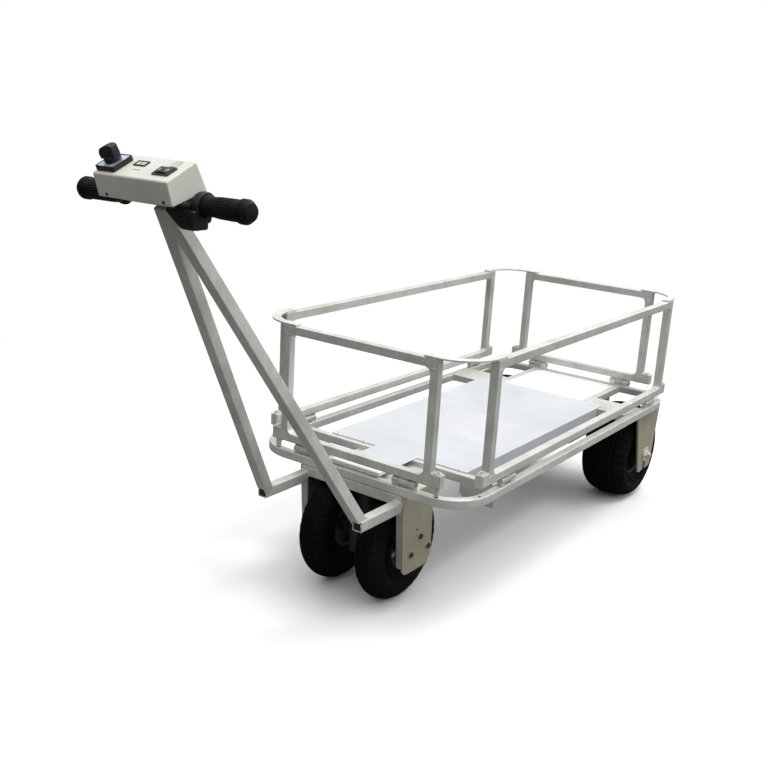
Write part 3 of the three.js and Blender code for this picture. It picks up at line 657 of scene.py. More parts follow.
# ---- chassis
def ring_path(inset, steps=18):
    """Points and outward directions round the ring."""
    path = []
    for i, (sx, sy) in enumerate(((1, 1), (-1, 1), (-1, -1), (1, -1))):
        centre = Vector((sx * (HALF_W - CORNER_R), sy * (HALF_L - CORNER_R), 0))
        for k in range(steps + 1):
            angle = (i + k / steps) * math.pi / 2
            out = Vector((math.cos(angle), math.sin(angle), 0))
            path.append((centre + out * (CORNER_R - inset), out))
    return path


def lock_places():
    """Where the lock pins go: under each gate's two lugs."""
    reach = TUBE / 2 + LUG_LENGTH / 2
    places = []
    for sx in (-1, 1):
        for sy in (-1, 1):
            places.append((sx * (END_POST + reach), sy * (HALF_L - TUBE / 2), 0))
            places.append((sx * (HALF_W - TUBE / 2 - 2), sy * (SIDE_POST + reach), 0))
    return places


def base_ring():
    half = TUBE / 2
    section = rectangle(about(0, half), about(0, half), TUBE_EDGE)
    rows = []
    for centre, out in ring_path(half):
        rows.append([centre + out * u + Vector((0, 0, RING_MID + v)) for u, v in section])
    deep = (ring.high.z - 9, ring.high.z + 4)
    holes = [rod("z", LOCK_HOLE_R, deep, place, 0.2, 24) for place in lock_places()]
    piece("base_ring", RING_ALUMINIUM, [cut(grid_mesh(rows, True, True), joined(holes))])


def fillet_welds(x, y):
    """Beads where a cross member's end meets the ring's inner wall, all round the tube."""
    half = TUBE / 2 - 1
    beads = [weld_bead((x, y - half, z), (x, y + half, z)) for z in shrunk(ring.z, 0.2)[::-1]]
    for side in about(y, half + 1):
        beads.append(weld_bead((x, side, ring.low.z), (x, side, ring.high.z)))
    return beads


def front_member():
    """The front cross member with its two gussets and the plate that the truck turns under."""
    span = Span("front_cross_member")
    middle = span.high.y - TUBE / 2
    front = middle - TUBE / 2
    top = ring.low.z + 1
    inner = END_POST - TUBE / 2
    meshes = [square_tube("x", TUBE, span.x, middle, RING_MID)]
    for s in (-1, 1):
        outer = s * span.high.x
        corners = [(s * inner, top), (outer, top), (outer, span.low.z)]
        corners += [(s * (inner + 18), span.low.z), (s * inner, span.low.z + 14)]
        meshes.append(prism([rounded(corners, 2)], "y", (front, front + 4), 0.5))
        meshes += fillet_welds(outer - s, middle)
    pin = joint_place("truck_steer")
    plate = rectangle(about(0, 100), (span.low.y, front + 1), 4)
    bore = circle(pin.x, pin.y, 10.6, 40)
    meshes.append(prism([plate, bore], "z", (ring.low.z + 2, ring.low.z + 8), 0.5))
    piece("front_cross_member", RING_ALUMINIUM, meshes)


def bay_frame():
    """The rear cross member, the battery bay's rails and a flat plate in each rear corner."""
    span = Span("battery_bay_frame")
    middle = span.low.y + TUBE / 2
    back = middle + TUBE / 2
    rail = Span("battery_lid").high.x + 0.3 + TUBE / 2
    top = ring.high.z - 0.5
    meshes = [square_tube("x", TUBE, span.x, middle, RING_MID)]
    for s in (-1, 1):
        meshes.append(square_tube("y", TUBE, (back - 0.5, span.high.y), s * rail, RING_MID))
        meshes += fillet_welds(s * (span.high.x - 1), middle)
        for x in about(s * rail, TUBE / 2):
            for y in (back + 0.3, span.high.y):
                meshes.append(weld_bead((x, y, ring.low.z + 2), (x, y, ring.high.z - 2)))
        a, b = about(s * rail, TUBE / 2 - 2)
        for y in (back + 0.3, span.high.y - 0.5):
            meshes.append(weld_bead((a, y, top + 0.2), (b, y, top + 0.2), 1.2))
        plate = (s * (rail + TUBE / 2 - 1), s * span.high.x)
        meshes.append(block(plate, (back - 1, CORNER_PLATE_BACK), (top - 4, top), 0.6))
    piece("battery_bay_frame", RING_ALUMINIUM, meshes)


def deck():
    """The deck sheet, folded down along both sides, with its rivets and the tongue's cap."""
    span = Span("deck_plate")
    member = Span("front_cross_member")
    bay = Span("battery_bay_frame")
    edge, back = span.high.x, span.high.y
    top = span.high.z
    tongue = 60
    shoulder = member.high.y - TUBE + 16
    outline = both_halves([(tongue, span.low.y), (tongue, shoulder), (edge, shoulder), (edge, back)])
    meshes = [prism([rounded(outline, 5)], "z", span.z, 0.5)]
    for s in (-1, 1):
        along = (member.high.y + 1, bay.low.y - 1)
        meshes.append(block((s * (edge - 2), s * edge), along, (top - FLANGE_DEPTH, top - 0.5), 0.5))
    piece("deck_plate", DECK_SHEET, meshes)
    places = [(x, member.high.y - TUBE / 2 + 9) for x in (-175, -95, 95, 175)]
    places += [(x, bay.low.y + TUBE / 2) for x in (-175, -60, 60, 175)]
    piece("deck_rivets", STEEL, [rivet(x, y, top) for x, y in places], "chassis")
    cap = block(about(0, 68), (-572, -522), (top - 0.4, top + 8), 1.4, 4)
    piece("deck_tongue_cap", WHITE_ENAMEL, [cap], "chassis")


def rivet(x, y, z, radius=4.5, height=1.6):
    """A domed blind rivet with the hole its stem leaves."""
    profile = [(0, -0.6), (radius, -0.6), (radius, 0.3), (radius * 0.8, height * 0.75)]
    profile += [(radius * 0.45, height), (1.3, height), (1.1, 0.5), (0, 0.5)]
    return lathe(profile, "z", (x, y, z), 24)


def battery():
    """The battery's case with its stiffening strips, and the lid with its four screws."""
    case = Span("battery_case")
    outline = rectangle(case.x, case.y, 6)
    room = rectangle(shrunk(case.x, 2), shrunk(case.y, 2), 5)
    floor = (case.low.z, case.low.z + 2)
    meshes = [prism([outline, room], "z", case.z, 0.6), prism([outline], "z", floor, 0.6)]
    for y in shrunk(case.y, -0.9):
        for x in (-66, -22, 22, 66):
            meshes.append(block(about(x, 5), about(y, 1.2), (case.low.z + 12, case.high.z - 18)))
    piece("battery_case", HOUSING_PAINT, meshes)

    lid = Span("battery_lid")
    top = lid.high.z
    raised = block(shrunk(lid.x, 22), shrunk(lid.y, 22), (top - 0.5, top + 1.2), 0.8, 8)
    piece("battery_lid", WHITE_ENAMEL, [block(lid.x, lid.y, lid.z, 0.8, 4), raised])
    corners = [(x, y, top) for x in shrunk(lid.x, 10) for y in shrunk(lid.y, 10)]
    piece("battery_lid_screws", STEEL, [pan_screw(corner) for corner in corners], "chassis")


def pan_screw(place, radius=4.0, turn=Matrix.Identity(4)):
    """A pan-head screw with a cross recess, its head standing on a face."""
    height = radius * 0.55
    profile = [(0, -0.4), (radius, -0.4), (radius, height * 0.35), (radius * 0.75, height * 0.85)]
    profile += [(radius * 0.35, height), (0, height)]
    deep = (height * 0.4, height + 1)
    arms = ((radius * 0.62, 0.5), (0.5, radius * 0.62))
    slots = [block(about(0, x), about(0, y), deep, 0.05) for x, y in arms]
    return moved(cut(lathe(profile, "z", (0, 0, 0), 24), *slots), turn, Matrix.Translation(place))


# ---- gates
def gate_outline(post):
    """The gate seen square on: posts, rails and the lugs at its foot."""
    side = post + TUBE / 2
    end = side + LUG_LENGTH
    foot = GATE_LOW + LUG_H
    right = [(end, GATE_LOW), (end, foot), (side + 1, foot), (side, foot + 2), (side, GATE_TOP)]
    return both_halves(right)


def on_gate(axis, along, across, z=0.0):
    return (across, along, z) if axis == "x" else (along, across, z)


def gate_frame(axis, out, post):
    """A gate's welded frame, with bored lugs and the eyes let into them."""
    edge = HALF_W if axis == "x" else HALF_L
    low, high = sorted((out * (edge - TUBE), out * edge))
    half = TUBE / 2
    window = rectangle(about(0, post - half), (GATE_LOW + TUBE, GATE_TOP - TUBE), 16, 8)
    outline = rounded(gate_outline(post), 1.2, 2)
    body = prism([outline, window], axis, (low, high), TUBE_EDGE * 0.8, 3)
    foot = GATE_LOW + LUG_H
    holes = []
    eyes = []
    for s in (-1, 1):
        place = on_gate(axis, s * (post + half + LUG_LENGTH / 2), (low + high) / 2)
        holes.append(rod("z", LOCK_HOLE_R + 1.2, (GATE_LOW + 6, foot + 6), place, 0.2, 24))
        eyes.append(sleeve("z", 9, LOCK_HOLE_R, (foot - 8, foot + 3), place, 0.9))
    return [cut(body, joined(holes))] + eyes + gate_welds(axis, post, low, high)


def gate_welds(axis, post, low, high):
    """Beads across the joints between the posts, the rails and the lugs."""
    beads = []
    inset = 2.5
    inner, outer = shrunk(about(post, TUBE / 2), inset)
    foot = GATE_LOW + LUG_H + 0.4
    for s in (-1, 1):
        for z in (GATE_TOP - TUBE, GATE_LOW + TUBE):
            for face in (low, high):
                ends = [on_gate(axis, s * u, face, z) for u in (inner, outer)]
                beads.append(weld_bead(*ends, 0.8))
        ends = [on_gate(axis, s * (outer + inset), v, foot) for v in shrunk((low, high), inset)]
        beads.append(weld_bead(*ends, 1.6))
    return beads


def knuckle(axis, span, pin, web_z):
    """A hinge barrel round its pin, and the web that carries it."""
    run = "y" if axis == "x" else "x"
    across = about(pin["xyz".index(axis)], 5)
    ends = shrunk(span, 0.4)
    web = block(across, ends, web_z) if axis == "x" else block(ends, across, web_z)
    return [sleeve(run, 8.5, 3.6, span, pin, 1.2), web]


def gate_knuckles(axis, out, hinges):
    """The gate's half of each hinge."""
    line = out * ((HALF_W if axis == "x" else HALF_L) - TUBE / 2)
    meshes = []
    for along in hinges:
        pin = on_gate(axis, along, line, HINGE_Z)
        meshes += knuckle(axis, about(along, KNUCKLE_HALF), pin, (HINGE_Z + 5, GATE_LOW + 1.5))
    return meshes


def hinge_bracket(node, axis, metal):
    """The chassis half of a hinge and its pin, both from their CAD boxes."""
    run = "y" if axis == "x" else "x"
    span = Span(node + "_bracket")
    pin = Span(node + "_pin")
    low, high = getattr(span, run)
    gap_low, gap_high = about((low + high) / 2, KNUCKLE_HALF + 0.5)
    foot_top = span.low.z + 1.7
    meshes = [block(span.x, span.y, (span.low.z, foot_top), 0.5, 3)]
    for ends in ((low, gap_low), (gap_high, high)):
        meshes += knuckle(axis, ends, pin.mid, (foot_top - 0.5, pin.mid.z - 4))
    piece(node + "_bracket", metal, meshes)
    low, high = shrunk(getattr(pin, run), 0.2)
    meshes = [rod(run, 3, getattr(pin, run), pin.mid, 0.6, 24)]
    meshes += [rod(run, 5.2, ends, pin.mid, 1.2, 24) for ends in ((high - 3, high), (low, low + 3))]
    piece(node + "_pin", metal, meshes)


def corner_strip(sx, sy):
    """A flat bar bent round the corner, and the pad that joins it to the side gate."""
    top = Span("left_gate").high.z
    low = top - 4
    tail = 26
    x, y = HALF_W - CORNER_R, HALF_L - CORNER_R
    steps = 20
    turn = math.pi / 2 * (steps + 1) / steps
    outer = circle(x, y, CORNER_R, steps + 1, 0, turn)
    inner = circle(x, y, CORNER_R - TUBE, steps + 1, 0, turn)[::-1]
    outline = [(HALF_W, y - tail)] + outer + [(x - tail, HALF_L), (x - tail, HALF_L - TUBE)]
    outline += inner + [(HALF_W - TUBE, y - tail)]
    pad_y = (y - tail, y + 8)
    meshes = [prism([outline], "z", (low, top), 0.7)]
    meshes.append(block((HALF_W - TUBE + 1, HALF_W - 1), pad_y, (GATE_TOP - 1, low + 1), 0.4))
    for edge in (HALF_W - 0.8, HALF_W - TUBE + 0.8):
        meshes.append(weld_bead((edge, pad_y[0], low), (edge, pad_y[1], low), 1.1))
    return [mirrored(mesh, sx, sy) for mesh in meshes]


def front_stems():
    """Short stems under the front gate's lugs, which hold it off the ring."""
    x = END_POST + TUBE / 2 + LUG_LENGTH / 2
    span = (ring.high.z + 2.6, GATE_LOW + 2)
    return [rod("z", 6, span, (s * x, TUBE / 2 - HALF_L, 0), 0.8, 24) for s in (-1, 1)]


def gates():
    side_hinges = [Span(f"left_gate_{end}_hinge_pin").mid.y for end in ("front", "rear")]
    end_hinges = [Span(f"rear_gate_{side}_hinge_pin").mid.x for side in ("left", "right")]
    for side, s in SIDES:
        name = side + "_gate"
        meshes = gate_frame("x", s, SIDE_POST) + gate_knuckles("x", s, side_hinges)
        piece(name, GATE_ALUMINIUM, meshes)
        strips = corner_strip(s, -1) + corner_strip(s, 1)
        piece(name + "_strips", STRIP_ALUMINIUM, strips, name)
        for end in ("front", "rear"):
            hinge_bracket(f"{name}_{end}_hinge", "x", STEEL)
    # The rear gate's hinges take the lighter steel as painted light; the front gate's take the greyer
    # steel as painted shade.
    for end, s, metal, stems in (("front", -1, STEEL, front_stems()), ("rear", 1, LIT_HINGE_STEEL, [])):
        name = end + "_gate"
        meshes = gate_frame("y", s, END_POST) + gate_knuckles("y", s, end_hinges) + stems
        piece(name, GATE_ALUMINIUM, meshes)
        for side, _ in SIDES:
            hinge_bracket(f"{name}_{side}_hinge", "y", metal)


# ---- wheels
def tyre_profile(half, radius, seat, shoulder, steps=64):
    """One tyre section, bead to bead: round where shoulder is 1, squarer below 1."""
    bead = half * 0.66
    side = (radius + seat) / 2
    points = [(seat, -bead), (seat + 2, -bead - 2.2), (seat + 7, -bead - 2.6)]
    for k in range(steps + 1):
        angle = (k / steps - 0.5) * math.pi
        height = max(0.0, math.cos(angle)) ** shoulder
        reach = math.copysign(abs(math.sin(angle)) ** shoulder, math.sin(angle))
        points.append((side + (radius - side) * height, half * reach))
    return points + [(seat + 7, bead + 2.6), (seat + 2, bead + 2.2), (seat, bead)]


def smooth_step(value, low, high):
    t = min(1.0, max(0.0, (value - low) / (high - low)))
    return t * t * (3 - 2 * t)


def tread(radius, half, ribs):
    """The cut tread: straight grooves in the middle and bars at the shoulders."""
    depth = 3.2
    blocks = 36

    def shape(r, along, angle):
        outer = smooth_step(r, radius * 0.80, radius * 0.90)
        if outer <= 0:
            return r
        place = abs(along) / half
        groove = max(1 - smooth_step(abs(place - rib), 0.022, 0.05) for rib in ribs)
        shoulder = smooth_step(place, 0.62, 0.68) * (1 - smooth_step(place, 0.93, 1.0))
        wave = math.cos(blocks * angle + (0.9 if along > 0 else 0.0))
        bar = shoulder * smooth_step(-wave, 0.25, 0.6)
        return r - depth * outer * max(groove, bar * 0.8)

    return shape


def tyre(node, rim, shoulder, ribs):
    """A tyre with its tread, and two fine moulded rings on each sidewall."""
    span = Span(node)
    joint = joint_place(BODY_OF[node] + "_spin")
    centre = (span.mid.x, joint.y, joint.z)
    radius = joint.z - cad_bounds[0][2] / MM
    half = span.size.x / 2
    profile = tyre_profile(half, radius, rim + 0.3, shoulder)
    meshes = [lathe(profile, "x", centre, 288, tread(radius, half, ribs))]
    side = (radius + rim) / 2
    for s in (-1, 1):
        for r, bulge in ((side - 13, 0.955), (side - 18, 0.92)):
            meshes.append(lathe(circle(r, s * half * bulge, 1.3, 8), "x", centre, 144))
    piece(node, TYRE, meshes, sharp=45)


def front_rim(side, s):
    """A drive wheel's rim, disc, hub and half shaft, turned as one, and its five bolts."""
    node = f"front_{side}_rim_and_shaft"
    body = f"front_{side}_wheel"
    axle = joint_place(body + "_spin")
    middle = Span(f"front_{side}_tyre").mid.x
    inner, outer = [s * (x - middle) for x in Span(node).outwards(s)]
    shaft = 8.5
    lip = 23.1
    profile = [
        (0, inner), (shaft, inner), (shaft, -30), (20, -30), (20, -6), (44, -6), (46, -lip),
        (53.5, -lip - 1), (53.5, -lip + 2), (50, -lip + 4), (47, 0), (50, lip - 4),
        (53.5, lip - 2), (53.5, lip + 1), (46, lip), (44, 4), (20, 4), (20, 32), (shaft, 32),
        (shaft, outer), (0, outer),
    ]
    profile = rounded([(r, middle + s * along) for r, along in profile], 1.2, 2, False)
    piece(node, RIM, [lathe(profile, "x", (0, axle.y, axle.z), 64)])
    bolts = []
    for y, z in circle(axle.y, axle.z, 31, 5, 0.3):
        bolts.append(prism([hexagon(y, z, 12)], "x", (middle + s * 3, middle + s * 9), 0.7))
    piece(f"front_{side}_wheel_bolts", STEEL, bolts, body)


def rear_rim(side, s):
    """A free wheel's rim and hub, with stiffening ribs and a valve."""
    node = f"rear_{side}_rim"
    body = f"rear_{side}_wheel"
    axle = joint_place(body + "_spin")
    centre = Vector((0, axle.y, axle.z))
    hub = Span(node).size.x / 2
    lip = 44.9
    bore = 7.6
    right = [(61, 0), (64, lip - 5), (67.5, lip - 2), (67.5, lip + 1), (60, lip), (58, 5), (18, 5)]
    right += [(18, hub), (bore, hub)]
    left = [(r, -along) for r, along in reversed(right[1:])]
    profile = [(r, axle.x + s * along) for r, along in left + right]
    meshes = [lathe(rounded(profile, 1.5, 2), "x", centre, 72)]
    meshes += radial_ribs(6, 0, about(axle.x, 24), 1.6, (16, 59), centre)
    piece(node, RIM, meshes)

    face = axle.x + s * 5
    place = centre + Vector((0, 0, 50))
    stem = rod("x", 3.6, (face, face + s * 24), place, 0.8, 20)
    cap = rod("x", 3.9, (face + s * 21, face + s * 30), place, 1.2, 20)
    piece(f"rear_{side}_valve_stem", GRIP, [stem], body)
    piece(f"rear_{side}_valve_cap", STEEL, [cap], body)


def radial_ribs(count, start, x, half, reach, centre):
    """Flat ribs that stand out from an axis along x."""
    ribs = []
    for k in range(count):
        turn = Matrix.Rotation(2 * math.pi * k / count + start, 4, "X")
        ribs.append(moved(block(x, about(0, half), reach), turn, Matrix.Translation(centre)))
    return ribs


def wheels():
    for side, s in SIDES:
        tyre(f"front_{side}_tyre", 52.0, 1.0, (0.0, 0.22, 0.44))
        tyre(f"rear_{side}_tyre", 66.0, 0.8, (0.0, 0.16, 0.32, 0.48))
        front_rim(side, s)
        rear_rim(side, s)


# ---- rear forks
def fork_outline(axle, top):
    """A fork plate that tapers to the axle, with an open slot below it."""
    foot = axle.z - 46
    slot = 8
    y = axle.y
    points = [(y - 96, top), (y - 46, foot + 11)]
    points += bend((y - 46, foot + 11), (y - 43, foot - 3), (y - 32, foot - 3))
    points += [(y - slot, foot), (y - slot, axle.z)]
    points += circle(y, axle.z, slot, 16, math.pi, -math.pi)[1:]
    points += [(y + slot, axle.z), (y + slot, foot), (y + 32, foot + 1)]
    points += bend((y + 32, foot + 1), (y + 44, foot + 2), (y + 46, foot + 15))
    return points + [(y + 70, top)]


def rear_fork(side):
    """A welded fork, and the four bolts through its top plate."""
    node = f"rear_{side}_fork"
    span = Span(node)
    axle = joint_place(f"rear_{side}_wheel_spin")
    outline = fork_outline(axle, span.high.z)
    under = span.high.z - 4
    top_y = (axle.y - 92, axle.y - 38)
    meshes = [block(span.x, top_y, (under, span.high.z))]
    for face, inside in zip(span.x, shrunk(span.x, 6)):
        meshes.append(prism([outline], "x", (face, inside), 0.9))
        ends = [(inside, y, under - 0.5) for y in shrunk(top_y, 3)]
        meshes.append(weld_bead(*ends, 1.8))
    piece(node, ZINC_PLATE, meshes)

    bolts = []
    for x in about(span.mid.x, 48):
        for y in shrunk(top_y, 13):
            bolts.append(prism([hexagon(x, y, 13)], "z", (under - 6, under + 0.4)))
            bolts.append(sleeve("z", 9, 3, (under - 1.4, under + 0.4), (x, y, 0), 0.3))
    piece(f"rear_{side}_fork_bolts", STEEL, bolts, "chassis")


def rear_axle(side, s):
    """The axle bolt with its thread, and the washer and nut on its outer end."""
    name = f"rear_{side}_axle"
    nut = name + "_nut"
    span = Span(name)
    axle = joint_place(f"rear_{side}_wheel_spin")
    head, end = span.outwards(s)
    face = Span(f"rear_{side}_fork").outwards(s)[1]
    radius = 7
    place = Vector((0, axle.y, axle.z))
    meshes = [prism([hexagon(axle.y, axle.z, 22)], "x", (head, head + s * 9.7), 1.2)]
    meshes.append(rod("x", radius, (span.low.x + 2, span.high.x - 0.2), place, 1.2))
    for k in range(9):
        thread = circle(radius + 0.1, end - s * 1.5 * (k + 1), 0.55, 6)
        meshes.append(lathe(thread, "x", place, 32))
    piece(name, STEEL, meshes)

    span = (face + s * 0.3, face + s * 3)
    washer = sleeve("x", Span(nut).size.y / 2, radius + 0.4, span, place, 0.8, 48)
    piece(name + "_washer", WASHER_STEEL, [washer], "chassis", [nut])
    outline = [hexagon(axle.y, axle.z, 21), circle(axle.y, axle.z, radius + 0.9, 32)]
    flats = prism(outline, "x", (face + s * 3, face + s * 11), 1.0)
    piece(nut, WASHER_STEEL, [flats], replaces=[])


# ---- truck
def truck_beam():
    """The hollow cross beam, and the plate welded behind it that the turntable bolts to."""
    span = Span("truck_beam")
    low, back = span.low.y, span.low.y + 24
    walls = [rectangle((low, back), span.z, 3), rectangle((low + 2, back - 2), shrunk(span.z, 2), 2)]
    plate = ring.low.z - 12
    meshes = [prism(walls, "x", span.x, 0.3, 1)]
    meshes.append(block(span.x, (back - 1, span.high.y), (plate, plate + 6), 0.6, 5))
    ends = [(x, back + 0.4, plate - 0.4) for x in shrunk(span.x, 4)]
    meshes.append(weld_bead(*ends, 1.4))
    piece("truck_beam", HANDLE_ALUMINIUM, meshes)


def bracket_outline(front, back, low, top):
    foot = front + 16
    points = [(front, top), (foot, low + 18)]
    points += bend((foot, low + 18), (foot + 1, low), (foot + 22, low))
    points += [(back - 30, low)]
    points += bend((back - 30, low), (back - 14, low + 1), (back, low + 24))
    return points + [(back - 6, top)]


def truck_bracket(side, s):
    """A front wheel's side plate, with its bolts, washers and turned-in front lip."""
    node = f"truck_{side}_bracket"
    span = Span(node)
    axle = joint_place(f"front_{side}_wheel_spin")
    beam = Span("truck_beam")
    face = beam.high.x + 0.3
    outer = s * (face + 5)
    outline = bracket_outline(*span.y, *span.z)
    small = circle(axle.y - 14, axle.z + 53, 3.5, 24)
    piece(node, ZINC_PLATE, [prism([outline, small], "x", (s * face, outer), 1.0)])
    seat = outer + s
    washers = []
    bolts = []
    for y, z in circle(axle.y, axle.z, 34, 3, 0, 1.5 * math.pi):
        washers.append(sleeve("x", 8, 3, (outer, outer + s * 1.2), (0, y, z), 0.3))
        bolts.append(prism([hexagon(y, z, 11)], "x", (seat, seat + s * 4.2), 1.0))
        bolts.append(rod("x", 6.6, about(seat, 0.8), (0, y, z), 0.4))
    piece(node + "_bolts", BOLT, bolts, "truck")
    piece(node + "_washers", ZINC_PLATE, washers, "truck")

    strip = rectangle((s * 127, s * (face + 1)), (span.low.z + 16, beam.low.z - 0.3), 9, 6)
    lip = prism([strip], "y", (0, 5), 1.2, 3)
    rake = Matrix.Identity(4)
    rake[1][2] = -16 / (span.size.z - 18)
    rake[1][3] = span.low.y - rake[1][2] * span.high.z
    piece(node + "_flange", FLANGE_PLATE, [moved(lip, rake)], "truck")


def bearing_housing(side, s):
    """A turned flange bearing inside a side plate."""
    axle = joint_place(f"front_{side}_wheel_spin")
    face = Span("truck_beam").high.x
    profile = [(9.2, 0), (42, 0), (42, 4), (24, 4.5), (22, 14), (9.2, 14)]
    profile = rounded([(r, s * (face - along)) for r, along in profile], 1.2, 3)
    mesh = lathe(profile, "x", (0, axle.y, axle.z), 56)
    piece(f"truck_{side}_bearing_housing", BOLT, [mesh])


def gear_case():
    """The ribbed gear case between the front wheels, its motor pad, front cover and plug."""
    span = Span("gear_case")
    axle = joint_place("front_left_wheel_spin")
    radius = axle.y - span.low.y
    half = span.high.x
    front = span.low.y
    centre = Vector((0, axle.y, axle.z))
    right = [(radius, 4), (radius - 1, 5), (radius - 1, half - 8), (radius - 5, half - 4)]
    right += [(30, half - 3), (26, half), (9.2, half)]
    profile = [(r, -along) for r, along in reversed(right)] + right
    meshes = [lathe(rounded(profile, 1.0, 2), "x", centre, 64)]
    meshes.append(block(about(0, 22), about(axle.y, 22), (axle.z + 30, span.high.z), 1.2, 4))
    meshes += radial_ribs(8, 0.2, about(0, half - 6), 1.5, (28, radius + 0.5), centre)
    meshes.append(block(about(0, 19), (front - 1.5, front + 12), about(axle.z, 40), 1.5, 3))
    piece("gear_case", HOUSING_PAINT, meshes)
    z = axle.z + 10
    bolt = prism([hexagon(0, z, 15)], "y", (front - 7, front - 1), 1.2)
    boss = rod("y", 10.5, (front - 2.6, front), (0, 0, z), 0.6)
    piece("gear_case_plug", BOLT, [bolt, boss], "truck")


def drive_motor():
    """The motor's grooved can, its square flange and its lead."""
    span = Span("drive_motor")
    y = joint_place("truck_steer").y
    low, high = span.low.z, span.high.z - 6
    profile = [(0, low), (30, low)]
    for k in range(5):
        z = low + 8 + k * (high - low - 16) / 5
        profile += [(30, z), (28, z + 1), (28, z + 3), (30, z + 4)]
    profile += [(30, high), (0, high)]
    can = lathe(profile, "z", (0, y, 0), 56)
    flange = block(about(0, 34), about(y, 34), (high - 0.6, high + 6), 0.8, 6)
    piece("drive_motor", HOUSING_PAINT, [can, flange])
    corners = [(0, -30, -12), (6, -40, -10), (14, -50, -2), (16, -60, 1)]
    lead = curve_path([(a, y + b, high + c) for a, b, c in corners])
    piece("motor_lead", CABLE, [pipe(lead, 3)], "truck")


# ---- handle
bar = Span("handlebar")
LEG = 24
ARM_X = 132
LEG_TOP_X = 3
KNEE_FRONT = -727


def handle_frame():
    """Two legs leaning in to the handlebar, each welded at the knee to an arm off the truck."""
    beam = Span("truck_beam")
    knee_y, knee_z = KNEE_FRONT + 13, beam.low.z
    arm_end = beam.low.y - 0.3
    run, rise = knee_y - bar.mid.y, bar.mid.z - knee_z
    length = math.hypot(run, rise)
    slope = (ARM_X - LEG_TOP_X) / length
    top = length - bar.size.z / 2 - 1
    half = LEG / 2 * math.hypot(1, slope)
    foot = -4
    foot_x = ARM_X - slope * foot
    outline = [
        (foot_x - half, foot), (foot_x + half, foot), (ARM_X - slope * top + half, top),
        (-0.4, top), (-0.4, (ARM_X - half) / slope),
    ]
    leg = prism([outline], "y", about(0, LEG / 2), 2.4, 3)
    lean = Matrix.Rotation(math.atan2(run, rise), 4, "X")
    moved(leg, lean, Matrix.Translation((0, knee_y, knee_z)))
    bore = block(about(ARM_X, 10), (KNEE_FRONT - 30, arm_end), about(knee_z, 10), 0.1)
    arm = square_tube("y", LEG, (KNEE_FRONT, arm_end), ARM_X, knee_z, 2.2, 2.8)
    upper = knee_z + LEG / 2
    a, b = about(ARM_X, 10)
    half_frame = [cut(leg, bore), arm]
    for x in (a, b):
        half_frame.append(weld_bead((x, knee_y - 4, upper), (x, knee_y + 16, upper), 1.4))
    half_frame.append(weld_bead((a, knee_y + 14, upper + 1), (b, knee_y + 14, upper + 1)))
    for x in about(ARM_X, 12):
        half_frame.append(weld_bead((x, arm_end, knee_z + 0.5), (x, arm_end, knee_z + 10)))
    half_frame.append(weld_bead((a, arm_end, upper), (b, arm_end, upper)))
    piece("handle_frame", HANDLE_ALUMINIUM, half_frame + [mirrored(m) for m in half_frame])

    plug_y = (KNEE_FRONT + 2, KNEE_FRONT + 6)
    plug_z = about(knee_z, 9.7)
    plugs = [block(about(s * ARM_X, 9.7), plug_y, plug_z, 0.8, 1.5) for s in (-1, 1)]
    piece("handle_tube_plugs", PLASTIC, plugs, "truck")


def handlebar():
    piece("handlebar", STEEL, [rod("x", bar.size.z / 2, bar.x, bar.mid, 1.5, 48)])


def grip(node, s):
    """A moulded grip: a flange, a neck, ribs along the palm, a collar and a round end."""
    inner, outer = [abs(x) for x in Span(node).outwards(s)]
    r = 17
    bore = bar.size.z / 2 + 0.5
    palm_a, palm_b = Vector((r - 0.5, inner + 30)), Vector((r, outer - 34))
    profile = [(bore, inner), (r + 1, inner), (r + 1, inner + 5), (r - 1.5, inner + 9)]
    profile += [tuple(palm_a.lerp(palm_b, k / 16)) for k in range(17)]
    profile += [
        (r - 0.5, outer - 26), (r + 2, outer - 22), (r + 2, outer - 9), (r - 3, outer - 1.5),
        (r - 9, outer), (0, outer), (0, bar.high.x + 2), (bore, bar.high.x + 2),
    ]

    def ribs(radius, along, angle):
        place = abs(along)
        if radius < r - 1 or place < inner + 12 or place > outer - 27:
            return radius
        fade = smooth_step(place, inner + 12, inner + 18)
        fade *= 1 - smooth_step(place, outer - 32, outer - 27)
        return radius + fade * 0.75 * (1 if math.cos(24 * angle) > 0 else 0)

    centre = (0, bar.mid.y, bar.mid.z)
    meshes = [lathe([(radius, s * along) for radius, along in profile], "x", centre, 144, ribs)]
    for along in (outer - 20, outer - 15.5, outer - 11):
        meshes.append(lathe(circle(r + 2, s * along, 0.8, 8), "x", centre, 72))
    piece(node, GRIP, meshes)


def throttle_housing():
    """The throttle's drum round the bar, and the lobe that hangs in front of it."""
    span = Span("throttle_housing")
    _, y, z = bar.mid
    outer = span.high.x
    inner = outer - 17
    bore = bar.size.z / 2 + 0.4
    profile = [(bore, inner), (19, inner), (22, inner + 4), (22, outer - 2), (20.5, outer), (bore, outer)]
    lobe = [
        (span.low.x, z - 6), (span.low.x, z - 13), (span.low.x + 34, span.low.z),
        (outer, span.low.z), (outer, z - 6),
    ]
    cheek = rectangle((y - 18, y + 12), (span.low.z + 10, z + 4), 8, 6)
    meshes = [
        lathe(rounded(profile, 1.5, 3), "x", (0, y, z), 56),
        prism([rounded(lobe, 5, 4)], "y", (span.low.y, y + 4), 4, 4),
        prism([cheek], "x", (inner - 6, outer - 1), 3, 3),
    ]
    front = (span.low.y - 1, span.low.y + 2)
    for k in range(3):
        x = outer - 5 - k * 6
        meshes.append(block(about(x, 1), front, (span.low.z + 8, span.low.z + 22), 0.6))
    piece("throttle_housing", PLASTIC, meshes)
    down = Matrix.Rotation(math.pi, 4, "X")
    places = [(x, y - 13, span.low.z) for x in (outer - 26, outer - 9)]
    piece("throttle_housing_screws", STEEL, [pan_screw(p, 2.6, down) for p in places], "truck")


